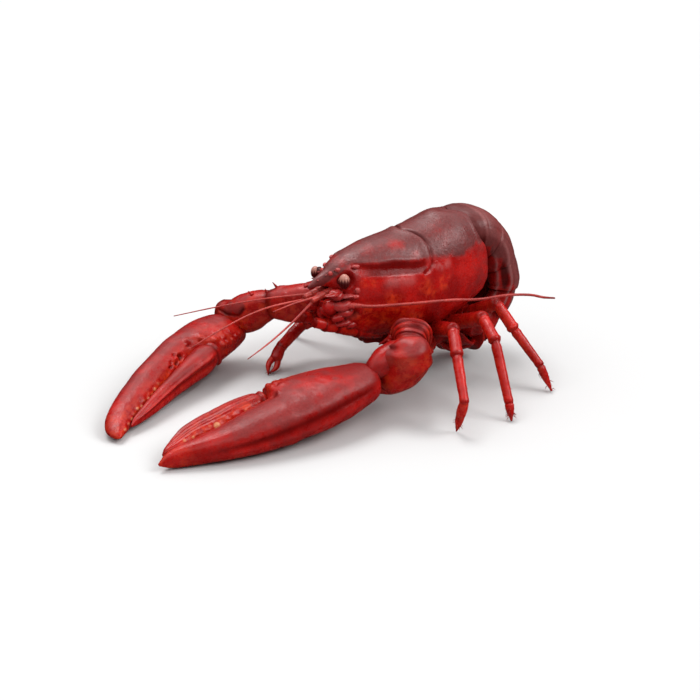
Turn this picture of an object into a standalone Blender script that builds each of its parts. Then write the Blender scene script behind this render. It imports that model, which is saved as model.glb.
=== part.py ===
"""A boiled lobster lying on a flat surface with its tail curled under its body.

The head points to -Y, the animal's left side is +X, and the floor is z = 0.
Sizes below are in millimetres and are turned into metres when a mesh is made.
"""

import math

import bpy
import numpy as np
from mathutils import Vector

MM = 0.001

# Driving dimensions, in millimetres
CARAPACE_REAR = 8.0          # y of the carapace's rear edge
ORBIT = -100.0               # y of the eye sockets
ROSTRUM_TIP = -123.0         # y of the tip of the spike between the eyes
BODY_HALF_WIDTH = 29.5
BACK_HEIGHT = 112.0          # top of the back above the floor
GAP = 0.4                    # clearance between neighbouring solids

FLAT_DEPTH = 2.4             # how much of the tail's lowest curve is flattened
TAIL_RADII = (45.5, 55.8)    # y and z radius of the tail's outer arc
TAIL_CENTRE = (4.0, TAIL_RADII[1] - FLAT_DEPTH)    # y, z of the middle of the curled tail
TAIL_PINCH = 1.2             # above 1 the curl is drawn in above and below its rearmost point
TAIL_THICKNESS = 34.0

LEG_SIDES = 7
WHIP_SIDES = 6


# ---------------------------------------------------------------- materials

COLOURS = {
    "shell": (0.20, 0.018, 0.016, 0.34),
    "tail": (0.17, 0.014, 0.014, 0.32),
    "claw": (0.30, 0.018, 0.018, 0.36),
    "leg": (0.42, 0.012, 0.008, 0.38),
    "whip": (0.22, 0.020, 0.018, 0.45),
    "mouth": (0.26, 0.014, 0.012, 0.40),
    "eye": (0.10, 0.030, 0.025, 0.20),
}


def material(name):
    """A Principled material in one of the lobster's colours."""
    found = bpy.data.materials.get(name)
    if found:
        return found
    red, green, blue, roughness = COLOURS[name]
    made = bpy.data.materials.new(name)
    made.use_nodes = True
    shader = made.node_tree.nodes["Principled BSDF"]
    shader.inputs["Base Color"].default_value = (red, green, blue, 1.0)
    shader.inputs["Roughness"].default_value = roughness
    shader.inputs["Metallic"].default_value = 0.0
    return made


# ------------------------------------------------------------ curve helpers

def smooth_rows(rows, stations):
    """Rows of numbers read off a smooth curve through the given rows.

    The first number of each row is the parameter; the slopes are limited so
    that the curve never swings past a row.
    """
    rows = np.asarray(rows, dtype=float)
    t, values = rows[:, 0], rows[:, 1:]
    steps = np.diff(t)
    slopes = np.diff(values, axis=0) / steps[:, None]
    tangents = np.empty_like(values)
    tangents[0], tangents[-1] = slopes[0], slopes[-1]
    for i in range(1, len(t) - 1):
        before, after = slopes[i - 1], slopes[i]
        mean = 2 * before * after / np.where(before + after == 0, 1, before + after)
        tangents[i] = np.where(before * after > 0, mean, 0.0)
    out = []
    for s in stations:
        i = min(max(int(np.searchsorted(t, s, side="right")) - 1, 0), len(t) - 2)
        u = (s - t[i]) / steps[i]
        out.append((2 * u**3 - 3 * u**2 + 1) * values[i]
                   + (u**3 - 2 * u**2 + u) * steps[i] * tangents[i]
                   + (3 * u**2 - 2 * u**3) * values[i + 1]
                   + (u**3 - u**2) * steps[i] * tangents[i + 1])
    return np.array(out)


def smooth_path(points, count):
    """Points evenly spaced along a rounded path through the given rows.

    Each row starts with x, y, z; any further numbers are carried along.
    """
    points = np.asarray(points, dtype=float)
    reach = np.r_[0.0, np.cumsum(np.linalg.norm(np.diff(points[:, :3], axis=0), axis=1))]
    tangents = np.gradient(points, reach, axis=0)
    out = []
    for s in np.linspace(0.0, reach[-1], count):
        i = min(max(int(np.searchsorted(reach, s, side="right")) - 1, 0), len(reach) - 2)
        step = reach[i + 1] - reach[i]
        u = (s - reach[i]) / step
        out.append((2 * u**3 - 3 * u**2 + 1) * points[i]
                   + (u**3 - 2 * u**2 + u) * step * tangents[i]
                   + (3 * u**2 - 2 * u**3) * points[i + 1]
                   + (u**3 - u**2) * step * tangents[i + 1])
    return np.array(out)


# ------------------------------------------------------------- mesh helpers

def closed_loft(name, rings, look, start=None, end=None):
    """One closed solid through rings of points, its ends fanned to a point each."""
    rings = np.asarray(rings, dtype=float)
    count, sides = rings.shape[:2]
    first = rings[0].mean(axis=0) if start is None else np.asarray(start, float)
    last = rings[-1].mean(axis=0) if end is None else np.asarray(end, float)
    points = [*rings.reshape(-1, 3), first, last]
    tail_tip, head_tip = count * sides, count * sides + 1
    faces = []
    for j in range(sides):
        k = (j + 1) % sides
        faces.append((tail_tip, k, j))
        faces.append((head_tip, (count - 1) * sides + j, (count - 1) * sides + k))
        for i in range(count - 1):
            a, b = i * sides + j, i * sides + k
            faces.append((a, b, b + sides, a + sides))
    mesh = bpy.data.meshes.new(name)
    mesh.from_pydata([Vector(p) * MM for p in points], [], faces)
    mesh.validate()
    outward = signed_volume(mesh) > 0
    if not outward:
        mesh.flip_normals()
    mesh.shade_smooth()
    mesh.set_sharp_from_angle(angle=math.radians(50))
    mesh.materials.append(material(look))
    piece = bpy.data.objects.new(name, mesh)
    bpy.context.scene.collection.objects.link(piece)
    return piece


def signed_volume(mesh):
    """Six times the mesh's volume: positive when its faces point out."""
    total = 0.0
    mesh.calc_loop_triangles()
    for triangle in mesh.loop_triangles:
        a, b, c = (mesh.vertices[i].co for i in triangle.vertices)
        total += a.dot(b.cross(c))
    return total


def limb(name, points, look, sides=LEG_SIDES, rings=6, up=(0, 0, 1), squareness=2.0,
         blunt=0.35):
    """A rounded, slightly boxy tube along rows of x, y, z, half width, half height."""
    path = smooth_path(points, rings)
    spots, widths, heights = path[:, :3], path[:, 3], path[:, 4]
    ways = np.gradient(spots, axis=0)
    ways /= np.linalg.norm(ways, axis=1)[:, None]
    up = np.asarray(up, dtype=float)
    angles = np.linspace(0, 2 * math.pi, sides, endpoint=False)
    power = 2.0 / squareness
    across = np.sign(np.cos(angles)) * np.abs(np.cos(angles)) ** power
    tall = np.sign(np.sin(angles)) * np.abs(np.sin(angles)) ** power

    def ring(spot, way, width, height):
        side = np.cross(way, up)
        side /= np.linalg.norm(side)
        top = np.cross(side, way)
        return spot + np.outer(across * width, side) + np.outer(tall * height, top)

    hoops = [ring(*row) for row in zip(spots, ways, widths, heights)]
    start_cap = blunt * min(widths[0], heights[0])
    end_cap = blunt * min(widths[-1], heights[-1])
    front = ring(spots[0] - ways[0] * start_cap * 0.7, ways[0], widths[0] * 0.7, heights[0] * 0.7)
    back = ring(spots[-1] + ways[-1] * end_cap * 0.7, ways[-1], widths[-1] * 0.7, heights[-1] * 0.7)
    return closed_loft(name, [front, *hoops, back], look,
                       start=spots[0] - ways[0] * start_cap,
                       end=spots[-1] + ways[-1] * end_cap)


def carve(piece, *neighbours):
    """Cuts the piece back so that it clears its neighbours by the usual gap."""
    for neighbour in neighbours:
        cutter = neighbour.copy()
        cutter.name = f"cutter_{neighbour.name}_{piece.name}"
        cutter.hide_render = True
        cutter.display_type = "WIRE"
        swell = cutter.modifiers.new("swell", "DISPLACE")
        swell.strength = GAP * MM
        swell.mid_level = 0.0
        bpy.context.scene.collection.objects.link(cutter)
        cut = piece.modifiers.new("cut", "BOOLEAN")
        cut.operation = "DIFFERENCE"
        cut.object = cutter


def shortened(points, start, end):
    """The same rows with the run's two ends pulled in along the path."""
    points = np.asarray(points, dtype=float).copy()
    first = points[1, :3] - points[0, :3]
    last = points[-2, :3] - points[-1, :3]
    points[0, :3] += first / np.linalg.norm(first) * start
    points[-1, :3] += last / np.linalg.norm(last) * end
    return points


def mirrored(rows, side):
    """Rows for the left side (+1), or the same ones thrown over to the right (-1)."""
    rows = np.asarray(rows, dtype=float).copy()
    rows[:, 0] *= side
    return rows


# ----------------------------------------------------------------- the body

def carapace():
    """Shell of the head and chest, with its rostrum, closed below by the breast plate."""
    # y, half width, top, bottom, half width at the lower margin
    outline = [
        (ROSTRUM_TIP, 0.8, 80.5, 78.5, 0.5),
        (-117.0, 2.6, 84.5, 78.5, 1.5),
        (-109.0, 5.5, 88.5, 77.0, 3.5),
        (-103.5, 11.0, 91.0, 61.0, 8.0),
        (ORBIT, 15.5, 92.5, 53.0, 11.0),
        (-88.0, 20.5, 95.5, 47.0, 15.0),
        (-68.0, 25.5, 100.5, 42.0, 19.0),
        (-45.0, 28.0, 106.5, 39.5, 21.5),
        (-25.0, BODY_HALF_WIDTH, 110.0, 39.0, 22.5),
        (-8.0, 28.5, BACK_HEIGHT, 40.5, 22.0),
        (CARAPACE_REAR, 25.5, 109.5, 47.0, 20.0),
    ]
    stations = [ROSTRUM_TIP, -117, -111, -107, -103.5, ORBIT, -95, -88, -78, -68, -58,
                -48, -36, -25, -14, -4, 2, CARAPACE_REAR]
    sides = 24
    rings = []
    for y, row in zip(stations, smooth_rows(outline, stations)):
        width, top, bottom, margin = row
        waist = bottom + 0.46 * (top - bottom)
        ring = []
        for angle in np.linspace(0, 2 * math.pi, sides, endpoint=False):
            c, s = math.cos(angle), math.sin(angle)
            if s >= 0:
                x = width * math.copysign(abs(c) ** 0.86, c)
                z = waist + (top - waist) * s**0.94
            else:
                reach = abs(s) ** 1.3
                x = (width + (margin - width) * reach) * math.copysign(abs(c) ** 0.42, c)
                z = waist - (waist - bottom) * abs(s) ** 0.8
            ring.append((x, y, z))
        rings.append(ring)
    return closed_loft("carapace", rings, "shell")


def tail_point(angle, depth=0.0):
    """y and z on the curled tail's outer arc, or that deep below it.

    The angle is 0 at the top of the back and 180 degrees at the floor.
    """
    a = math.radians(angle)
    back = math.copysign(abs(math.sin(a)) ** TAIL_PINCH, math.sin(a))
    return np.array([TAIL_CENTRE[0] + (TAIL_RADII[0] - depth) * back,
                     TAIL_CENTRE[1] + (TAIL_RADII[1] - depth) * math.cos(a)])


def tail_ring(name, start, end, width, thickness):
    """One ring of the tail between two angles of the curl, flattened where it meets the floor."""
    sides, steps = 16, 5
    rings = []
    for k, angle in enumerate(np.linspace(start, end, steps)):
        bulge = 1.0 - 0.045 * (2 * k / (steps - 1) - 1) ** 2
        ring = []
        for turn in np.linspace(0, 2 * math.pi, sides, endpoint=False):
            c, s = math.cos(turn), math.sin(turn)
            x = width * bulge * math.copysign(abs(c) ** 0.8, c)
            depth = thickness * 0.5 * (1.0 - math.copysign(abs(s) ** 0.9, s)) + (1 - bulge) * 20
            y, z = tail_point(angle, depth)
            ring.append((x, y, max(z, 0.0)))
        rings.append(ring)
    return closed_loft(name, rings, "tail")


def tail(shell):
    """Six tail rings, from the carapace's rear edge round to the floor."""
    angles = [6.0, 36.0, 66.0, 96.0, 125.0, 153.0, 184.0]
    widths = [24.5, 27.0, 27.0, 26.0, 23.0, 20.0]
    thicknesses = [34.0, 34.0, 33.0, 31.0, 28.0, 24.0]
    gap_angle = math.degrees(GAP / (TAIL_RADII[0] - TAIL_THICKNESS))
    for k in range(6):
        ring = tail_ring(f"tail_ring_{k + 1}", angles[k] + gap_angle, angles[k + 1], widths[k],
                         thicknesses[k])
        if k == 0:
            carve(ring, shell)


def tail_fan():
    """Telson and two pairs of paddles, folded forward under the body."""
    limb("telson", [(0, -2, 7, 11, 2.4), (0, -12, 13, 10.5, 2.2), (0, -20, 22, 8, 1.5)],
         "tail", sides=12, rings=6)
    for side, label in ((1, "left"), (-1, "right")):
        inner = [(9, -1, 14, 5.5, 1.7), (15, -8, 19, 9, 1.7), (18, -15, 28, 6.5, 1.2)]
        outer = [(13, -1, 21.5, 5, 1.6), (23, -4, 28.5, 8, 1.6), (28, -8, 37, 6, 1.2)]
        limb(f"inner_paddle_{label}", mirrored(inner, side), "tail", sides=10, rings=5)
        limb(f"outer_paddle_{label}", mirrored(outer, side), "tail", sides=10, rings=5)


def head_parts(shell):
    """Eyes, feelers and mouth parts at the front of the head."""
    for side, label in ((1, "left"), (-1, "right")):
        eye = [(8.5, -105.5, 81.5, 1.8, 1.8), (12.0, -106.0, 82.5, 3.0, 3.0),
               (15.0, -106.5, 82.5, 2.6, 2.6)]
        carve(limb(f"eye_{label}", mirrored(eye, side), "eye", sides=10, rings=6), shell)
        base = [(11.0, -106.0, 70.0, 5.5, 5.0), (14.0, -113.0, 68.0, 5.0, 4.5),
                (18.5, -117.0, 67.0, 3.0, 3.0)]
        limb(f"antenna_base_{label}", mirrored(base, side), "mouth", sides=10, rings=5)
        scale = [(11.0, -108.0, 77.5, 3.0, 1.3), (14.0, -117.0, 77.5, 4.6, 1.2),
                 (12.0, -126.0, 77.0, 1.4, 0.8)]
        limb(f"antenna_scale_{label}", mirrored(scale, side), "mouth", sides=8, rings=5)
        mouth = [(8.0, -72.0, 37.0, 6.0, 4.0), (8.0, -95.0, 44.5, 6.0, 5.0),
                 (7.0, -113.0, 53.0, 5.0, 6.0), (6.0, -123.0, 61.0, 3.0, 3.5)]
        limb(f"mouth_leg_{label}", mirrored(mouth, side), "mouth", sides=8, rings=6)


def feelers():
    """The long swept-back antennae and the two forked antennules."""
    long_whip = [(23.5, -111.0, 66.5, 1.5, 1.5), (26.0, -90.0, 66.0, 1.5, 1.5),
                 (34.0, -57.0, 64.5, 1.3, 1.3), (42.0, -22.0, 60.5, 1.2, 1.2),
                 (47.0, 7.0, 58.5, 1.0, 1.0), (50.0, 34.0, 51.5, 0.9, 0.9),
                 (50.5, 46.0, 48.5, 0.6, 0.6)]
    for side, label in ((1, "left"), (-1, "right")):
        limb(f"antenna_{label}", mirrored(long_whip, side), "whip", sides=WHIP_SIDES, rings=18)
    branches = {
        "antennule_right_upper": [(-4, -124, 73.5, 1.0, 1.0), (-12, -143.6, 73.6, 0.8, 0.8),
                                  (-25, -174.5, 71, 0.65, 0.65), (-35, -199.5, 67.9, 0.5, 0.5)],
        "antennule_right_lower": [(-4, -125, 70.5, 1.0, 1.0), (-6, -155, 70, 0.8, 0.8),
                                  (-8, -186, 62.5, 0.65, 0.65), (-8, -204, 57, 0.5, 0.5)],
        "antennule_left_upper": [(4, -124, 73.5, 1.0, 1.0), (3, -137, 72.5, 0.8, 0.8),
                                 (2, -151, 70.3, 0.6, 0.6)],
        "antennule_left_lower": [(4, -125, 70.5, 1.0, 1.0), (6, -146, 60, 0.8, 0.8),
                                 (9, -167, 52, 0.65, 0.65), (13, -188, 44.4, 0.5, 0.5)],
    }
    for name, rows in branches.items():
        limb(name, rows, "whip", sides=WHIP_SIDES, rings=7)


# ------------------------------------------------------------ claws and arms

def claw(label, base, tip, palm_width, thickness, finger_reach, side):
    """Palm with its fixed finger, and the moving finger beside it.

    The claw lies flat: u runs from the wrist to the tip, the outer edge is on
    the animal's outer side and the moving finger on its inner side.
    """
    base, tip = np.asarray(base, float), np.asarray(tip, float)
    length = np.linalg.norm(tip - base)
    way = (tip - base) / length
    outward = np.cross(way, (0, 0, 1))
    outward *= -side / np.linalg.norm(outward)
    upward = np.cross(way, outward) * side
    upward *= math.copysign(1, upward[2])
    half = palm_width / 2

    # share of the length, outer edge, inner edge (both as shares of the half width)
    palm = [(0.0, 0.40, -0.42, 0.60), (0.05, 0.62, -0.66, 0.80), (0.18, 0.88, -0.90, 0.98),
            (0.34, 1.0, -1.0, 1.0), (0.44, 1.0, -0.96, 0.94), (0.49, 0.99, -0.30, 0.86),
            (0.60, 0.92, -0.18, 0.72), (0.80, 0.66, -0.04, 0.46), (0.94, 0.34, 0.0, 0.26),
            (1.0, 0.10, 0.0, 0.10)]
    finger = [(0.47, -0.38, -0.96, 0.66), (0.56, -0.28, -1.06, 0.72), (0.70, -0.20, -0.98, 0.58),
              (0.86, -0.13, -0.66, 0.38), (0.97, -0.10, -0.28, 0.16)]
    finger = [(share, outer, inner * finger_reach, thick) for share, outer, inner, thick in finger]

    def body(name, outline, shares, sides):
        rings = []
        for share, (outer, inner, thick) in zip(shares, smooth_rows(outline, shares)):
            middle = base + way * share * length + outward * half * (outer + inner) / 2
            reach = half * (outer - inner) / 2
            angles = np.linspace(0, 2 * math.pi, sides, endpoint=False)
            ring = [middle + outward * reach * math.cos(a)
                    + upward * thickness / 2 * thick * math.sin(a) for a in angles]
            rings.append(ring)
        return closed_loft(name, rings, "claw")

    palm_piece = body(f"claw_palm_{label}", palm, [0, 0.02, 0.05, 0.11, 0.18, 0.26, 0.34, 0.42, 0.45, 0.47,
                                                   0.49, 0.56, 0.64, 0.72, 0.8, 0.88, 0.94, 0.98,
                                                   1.0], 14)
    finger_piece = body(f"claw_finger_{label}", finger, [0.47, 0.5, 0.56, 0.63, 0.7, 0.78, 0.86,
                                                         0.92, 0.97], 12)
    carve(finger_piece, palm_piece)
    return palm_piece


def arms():
    """Both claw-bearing arms, from the body to the claws."""
    left_palm = claw("left", (42, -107, 25), (26, -249, 6), 58, 36, 0.97, 1)
    right_palm = claw("right", (-92, -122, 24.5), (-29, -252, 4), 53, 31, 0.68, -1)
    wrist_left = [(47, -77, 51, 9, 10), (53, -84, 48, 13, 13), (53, -93, 38, 15, 14),
                  (47, -101, 28, 13, 12)]
    wrist_right = [(-68, -107, 44, 9, 10), (-75, -112, 40, 13, 13), (-82, -116, 33, 14, 14),
                   (-89, -120, 27, 11, 12)]
    upper_left = [(27, -60, 40, 7, 8), (37, -68, 45, 10, 10), (47, -77, 51, 11, 11)]
    upper_right = [(-30, -73, 37, 7, 8), (-46, -89, 40, 10, 12), (-67, -106, 44, 10, 11)]
    shoulder_left = [(13, -50, 33, 6, 5), (26, -59.5, 38, 7, 6)]
    shoulder_right = [(-13, -57, 32, 6, 5), (-29, -72, 36, 7, 6)]
    for label, palm, wrist, upper, shoulder in (
            ("left", left_palm, wrist_left, upper_left, shoulder_left),
            ("right", right_palm, wrist_right, upper_right, shoulder_right)):
        shoulder_piece = limb(f"shoulder_{label}", shoulder, "claw", sides=10, rings=4)
        upper_piece = limb(f"upper_arm_{label}", upper, "claw", sides=12, rings=6)
        wrist_piece = limb(f"wrist_{label}", wrist, "claw", sides=12, rings=7)
        carve(shoulder_piece, upper_piece)
        carve(wrist_piece, upper_piece, palm)


# -------------------------------------------------------------- walking legs

# Hip, knee, wrist, ankle and foot of each leg, from the front pair to the back one
LEGS_LEFT = [
    ((13, -37, 33), (29, -47, 30), (29, -56, 21), (24, -63, 10), (20, -68, 0)),
    ((14, -29, 34), (64, -58, 55), (78, -67, 45), (99, -79, 24), (90, -77, 0)),
    ((14, -18, 34), (58, -27, 54), (75, -32, 45), (96, -38, 11), (101, -40, 0)),
    ((14, -6, 36), (42, 0, 53), (55, 4, 38), (75, 10, 17), (84, 13, 0)),
]
LEGS_RIGHT = [
    ((-13, -40, 33), (-48, -60, 35), (-61, -80, 27), (-57, -101, 14), (-52, -116, 0)),
    ((-14, -30, 34), (-56, -48, 54), (-72, -54, 44), (-92, -62, 14), (-98, -64, 0)),
    ((-14, -18, 34), (-57, -26, 55), (-73, -29, 45), (-92, -33, 12), (-98, -34, 0)),
    ((-14, -6, 36), (-42, 0, 53), (-55, 4, 38), (-74, 10, 16), (-83, 13, 0)),
]


def walking_leg(label, hip, knee, wrist, ankle, foot):
    """Upper leg, lower leg and foot of one walking leg."""
    hip, knee, wrist, ankle, foot = (np.asarray(p, dtype=float)
                                     for p in (hip, knee, wrist, ankle, foot))
    middle = (hip + knee) / 2
    upper = [(*hip, 3.8, 3.8), (*middle, 4.0, 4.4), (*knee, 3.6, 3.8)]
    shin = (wrist + ankle) / 2
    lower = [(*knee, 3.6, 3.8), (*wrist, 3.4, 3.6), (*shin, 3.0, 3.2), (*ankle, 2.6, 2.8)]
    toe = (ankle + foot) / 2
    tip = [(*ankle, 2.5, 2.5), (*toe, 2.3, 2.3), (*foot, 0.7, 0.7)]
    limb(f"upper_leg_{label}", shortened(upper, 0, 3.2), "leg", rings=4)
    limb(f"lower_leg_{label}", shortened(lower, 3.2, 1.8), "leg", rings=6)
    limb(f"foot_{label}", shortened(tip, 1.8, 1), "leg", rings=4)


def walking_legs():
    """Four pairs of walking legs, numbered from the front."""
    for side, legs in (("left", LEGS_LEFT), ("right", LEGS_RIGHT)):
        for number, joints in enumerate(legs, start=1):
            walking_leg(f"{side}_{number}", *joints)


def set_down(pieces):
    """Hangs the pieces on an empty that puts the origin under the middle of the whole."""
    corners = [piece.matrix_world @ Vector(corner) for piece in pieces for corner in piece.bound_box]
    middle = [(min(c[i] for c in corners) + max(c[i] for c in corners)) / 2 for i in (0, 1)]
    lobster = bpy.data.objects.new("lobster", None)
    bpy.context.scene.collection.objects.link(lobster)
    for piece in pieces:
        piece.parent = lobster
    lobster.location = (-middle[0], -middle[1], 0.0)


def main():
    for existing in list(bpy.data.objects):
        bpy.data.objects.remove(existing, do_unlink=True)
    shell = carapace()
    tail(shell)
    tail_fan()
    head_parts(shell)
    feelers()
    arms()
    walking_legs()
    set_down(list(bpy.data.objects))


main()
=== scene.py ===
import itertools
import math

import bpy
import numpy as np
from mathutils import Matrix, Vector


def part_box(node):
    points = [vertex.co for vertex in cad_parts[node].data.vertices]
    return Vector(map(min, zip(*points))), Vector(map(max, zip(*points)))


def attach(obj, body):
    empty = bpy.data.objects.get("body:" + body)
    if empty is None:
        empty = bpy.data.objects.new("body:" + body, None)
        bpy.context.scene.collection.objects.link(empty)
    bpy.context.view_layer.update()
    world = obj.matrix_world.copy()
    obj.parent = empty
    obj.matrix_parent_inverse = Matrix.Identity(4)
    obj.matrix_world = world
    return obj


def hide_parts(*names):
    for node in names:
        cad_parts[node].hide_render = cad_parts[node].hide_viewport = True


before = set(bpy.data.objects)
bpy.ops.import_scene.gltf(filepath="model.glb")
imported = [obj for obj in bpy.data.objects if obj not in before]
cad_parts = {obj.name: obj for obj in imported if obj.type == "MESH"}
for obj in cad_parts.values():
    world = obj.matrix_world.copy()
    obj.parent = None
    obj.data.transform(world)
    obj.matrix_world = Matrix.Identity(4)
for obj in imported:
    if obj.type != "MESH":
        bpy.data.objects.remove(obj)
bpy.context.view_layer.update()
print("frame loaded:", len(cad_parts), "nodes")

# Shapes below are in millimetres, x across, y towards the tail, z up from the floor.
# The carapace's rear edge is at y = 8 and its middle at x = 0.
toMetres = 0.001
rearEdge = 8
shellLow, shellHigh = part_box("carapace")
homeSpot = np.array([(shellLow.x + shellHigh.x) / 2, shellHigh.y - rearEdge * toMetres, 0.0])


def ease(value, low, high):
    # 0 below low, 1 above high, smooth between
    t = np.clip((np.asarray(value, float) - low) / (high - low), 0.0, 1.0)
    return t * t * (3 - 2 * t)


def bell(offset, width):
    # 1 where offset is 0, fading smoothly on both sides
    return np.exp(-((offset / width) ** 2))


def latticeValue(cell, seed):
    mixed = cell[..., 0] * 73856093 ^ cell[..., 1] * 19349663 ^ cell[..., 2] * 83492791
    mixed = (mixed ^ (mixed >> 13) ^ (seed + 7) * 668265263) * 1274126177
    return (mixed >> 8 & 0xFFFFF) / 0x80000 - 1.0


def softNoise(points, size, seed=0):
    # smooth bumps between -1 and 1, about size apart
    spots = np.asarray(points) / size
    cell = np.floor(spots).astype(np.int64)
    part = spots - cell
    part = part * part * (3 - 2 * part)
    total = np.zeros(spots.shape[:-1])
    for corner in itertools.product((0, 1), repeat=3):
        weight = np.prod(np.where(np.array(corner) == 1, part, 1 - part), axis=-1)
        total += weight * latticeValue(cell + np.array(corner), seed)
    return total


def pebbles(points, size, seed=0):
    # rounded grains from 0 to 1, scattered about size apart
    spots = np.asarray(points) / size
    cell = np.floor(spots).astype(np.int64)
    nearest = np.full(spots.shape[:-1], 9.0)
    for corner in itertools.product((-1, 0, 1), repeat=3):
        there = cell + np.array(corner)
        jitter = np.stack([latticeValue(there, seed + k) for k in range(3)], axis=-1)
        centre = there + 0.5 + 0.4 * jitter
        nearest = np.minimum(nearest, ((spots - centre) ** 2).sum(-1))
    return ease(0.62 - np.sqrt(nearest), 0.0, 0.5)


def smoothStretch(values, tangents, i, step, u):
    # the curve between row i and the next, at share u of the way
    start = (2 * u**3 - 3 * u**2 + 1) * values[i] + (u**3 - 2 * u**2 + u) * step * tangents[i]
    end = (3 * u**2 - 2 * u**3) * values[i + 1] + (u**3 - u**2) * step * tangents[i + 1]
    return start + end


def smoothRows(rows, stations):
    # columns read off a smooth curve through the rows, without swinging past any
    rows = np.asarray(rows, float)
    t, values = rows[:, 0], rows[:, 1:]
    steps = np.diff(t)
    slopes = np.diff(values, axis=0) / steps[:, None]
    tangents = np.zeros_like(values)
    tangents[0], tangents[-1] = slopes[0], slopes[-1]
    before, after = slopes[:-1], slopes[1:]
    total = np.where(before + after == 0, 1, before + after)
    tangents[1:-1] = np.where(before * after > 0, 2 * before * after / total, 0.0)
    stations = np.asarray(stations, float)
    i = np.clip(np.searchsorted(t, stations, side="right") - 1, 0, len(t) - 2)
    step = steps[i][:, None]
    return smoothStretch(values, tangents, i, step, (stations[:, None] - t[i][:, None]) / step)


def smoothPath(rows, count):
    # evenly spaced rows along a rounded path; x, y, z come first
    rows = np.asarray(rows, float)
    reach = np.r_[0.0, np.cumsum(np.linalg.norm(np.diff(rows[:, :3], axis=0), axis=1))]
    tangents = np.gradient(rows, reach, axis=0)
    s = np.linspace(0.0, reach[-1], count)
    i = np.clip(np.searchsorted(reach, s, side="right") - 1, 0, len(reach) - 2)
    step = (reach[i + 1] - reach[i])[:, None]
    return smoothStretch(rows, tangents, i, step, (s - reach[i])[:, None] / step)


def lineDistance(points, path):
    # distance from each point to a run of straight stretches
    path = np.asarray(path, float)
    best = np.full(points.shape[:-1], 1e9)
    for a, b in zip(path[:-1], path[1:]):
        run = b - a
        t = np.clip(((points - a) @ run) / (run @ run), 0.0, 1.0)
        best = np.minimum(best, np.linalg.norm(points - a - t[..., None] * run, axis=-1))
    return best


def nearLine(points, path, width):
    return bell(lineDistance(points, path), width)


def nearSpot(points, spot, radius):
    far = ((points - np.asarray(spot, float)) ** 2).sum(-1) / radius**2
    return np.clip(1 - far, 0, 1) ** 2


def gridNormals(grid):
    around = np.roll(grid, -1, axis=1) - np.roll(grid, 1, axis=1)
    along = np.gradient(grid, axis=0)
    normals = np.cross(around, along)
    normals /= np.maximum(np.linalg.norm(normals, axis=-1, keepdims=True), 1e-9)
    outward = ((grid - grid.mean(axis=1, keepdims=True)) * normals).sum()
    return normals * (1 if outward > 0 else -1)


def raised(grid, height):
    return grid + gridNormals(grid) * height[..., None]


def gridPart(grid, paint=None):
    # one closed part from rings of points, its two ends fanned to a point
    rings, sides = grid.shape[:2]
    index = np.arange(rings * sides).reshape(rings, sides)
    beside = np.roll(index, -1, axis=1)
    quads = np.stack([index[:-1], beside[:-1], beside[1:], index[1:]], axis=-1).reshape(-1, 4)
    first, last = np.full(sides, rings * sides), np.full(sides, rings * sides + 1)
    fans = np.vstack([np.stack([first, beside[0], index[0]], axis=-1),
                      np.stack([last, index[-1], beside[-1]], axis=-1)])
    points = np.vstack([grid.reshape(-1, 3), grid[0].mean(axis=0), grid[-1].mean(axis=0)])
    corners = points[np.vstack([quads[:, :3], quads[:, [0, 2, 3]], fans])]
    volume = (corners[:, 0] * np.cross(corners[:, 1], corners[:, 2])).sum()
    if volume < 0:
        quads, fans = quads[:, ::-1], fans[:, ::-1]
    layers = {}
    for key, values in (paint or {}).items():
        values = np.broadcast_to(values, (rings, sides))
        layers[key] = np.r_[values.ravel(), values[0].mean(), values[-1].mean()]
    return {"points": points, "quads": quads, "fans": fans, "paint": layers}


def tubeGrid(rows, rings, sides, up=(0, 0, 1), square=1.0, blunt=0.5):
    # rows of x, y, z, half width, half height; the ends are rounded off
    path = smoothPath(rows, rings)
    spots, sizes = path[:, :3], path[:, 3:5]
    ways = np.gradient(spots, axis=0)
    ways /= np.linalg.norm(ways, axis=1, keepdims=True)
    caps = np.sin(np.linspace(0, math.pi / 2, 6))[:-1]
    lead = np.cos(np.linspace(0, math.pi / 2, 6))[:-1]
    startSpots = spots[0] - np.outer(lead * blunt * sizes[0].min(), ways[0])
    endSpots = spots[-1] + np.outer(lead[::-1] * blunt * sizes[-1].min(), ways[-1])
    spots = np.vstack([startSpots, spots, endSpots])
    ways = np.vstack([np.repeat(ways[:1], 5, axis=0), ways, np.repeat(ways[-1:], 5, axis=0)])
    caps = 0.12 + 0.88 * caps
    sizes = np.vstack([np.outer(caps, sizes[0]), sizes, np.outer(caps[::-1], sizes[-1])])
    sideways = np.cross(ways, np.asarray(up, float))
    sideways /= np.linalg.norm(sideways, axis=1, keepdims=True)
    top = np.cross(sideways, ways)
    angles = np.linspace(0, 2 * math.pi, sides, endpoint=False)
    across = np.sign(np.cos(angles)) * np.abs(np.cos(angles)) ** square
    tall = np.sign(np.sin(angles)) * np.abs(np.sin(angles)) ** square
    grid = (spots[:, None] + (sizes[:, :1] * across)[..., None] * sideways[:, None]
            + (sizes[:, 1:] * tall)[..., None] * top[:, None])
    share = np.clip((np.arange(len(spots)) - 5) / (rings - 1), -0.01, 1.01)
    return grid, share[:, None], angles[None, :]


def spikePart(base, tip, radius, paint=None, sides=10, bend=(0, 0, 0)):
    # a thorn that flares into the shell it stands on
    base, tip = np.asarray(base, float), np.asarray(tip, float)
    middle = (base + tip) / 2 + np.asarray(bend, float)
    rows = [(*base, radius * 1.35, radius * 1.35), (*(base * 0.7 + middle * 0.3), radius, radius),
            (*middle, radius * 0.62, radius * 0.62), (*tip, radius * 0.16, radius * 0.16)]
    upward = (0, 0, 1) if abs((tip - base)[2]) < 0.8 * np.linalg.norm(tip - base) else (0, 1, 0)
    grid, share, angles = tubeGrid(rows, 9, sides, up=upward)
    return gridPart(grid, paint)


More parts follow.
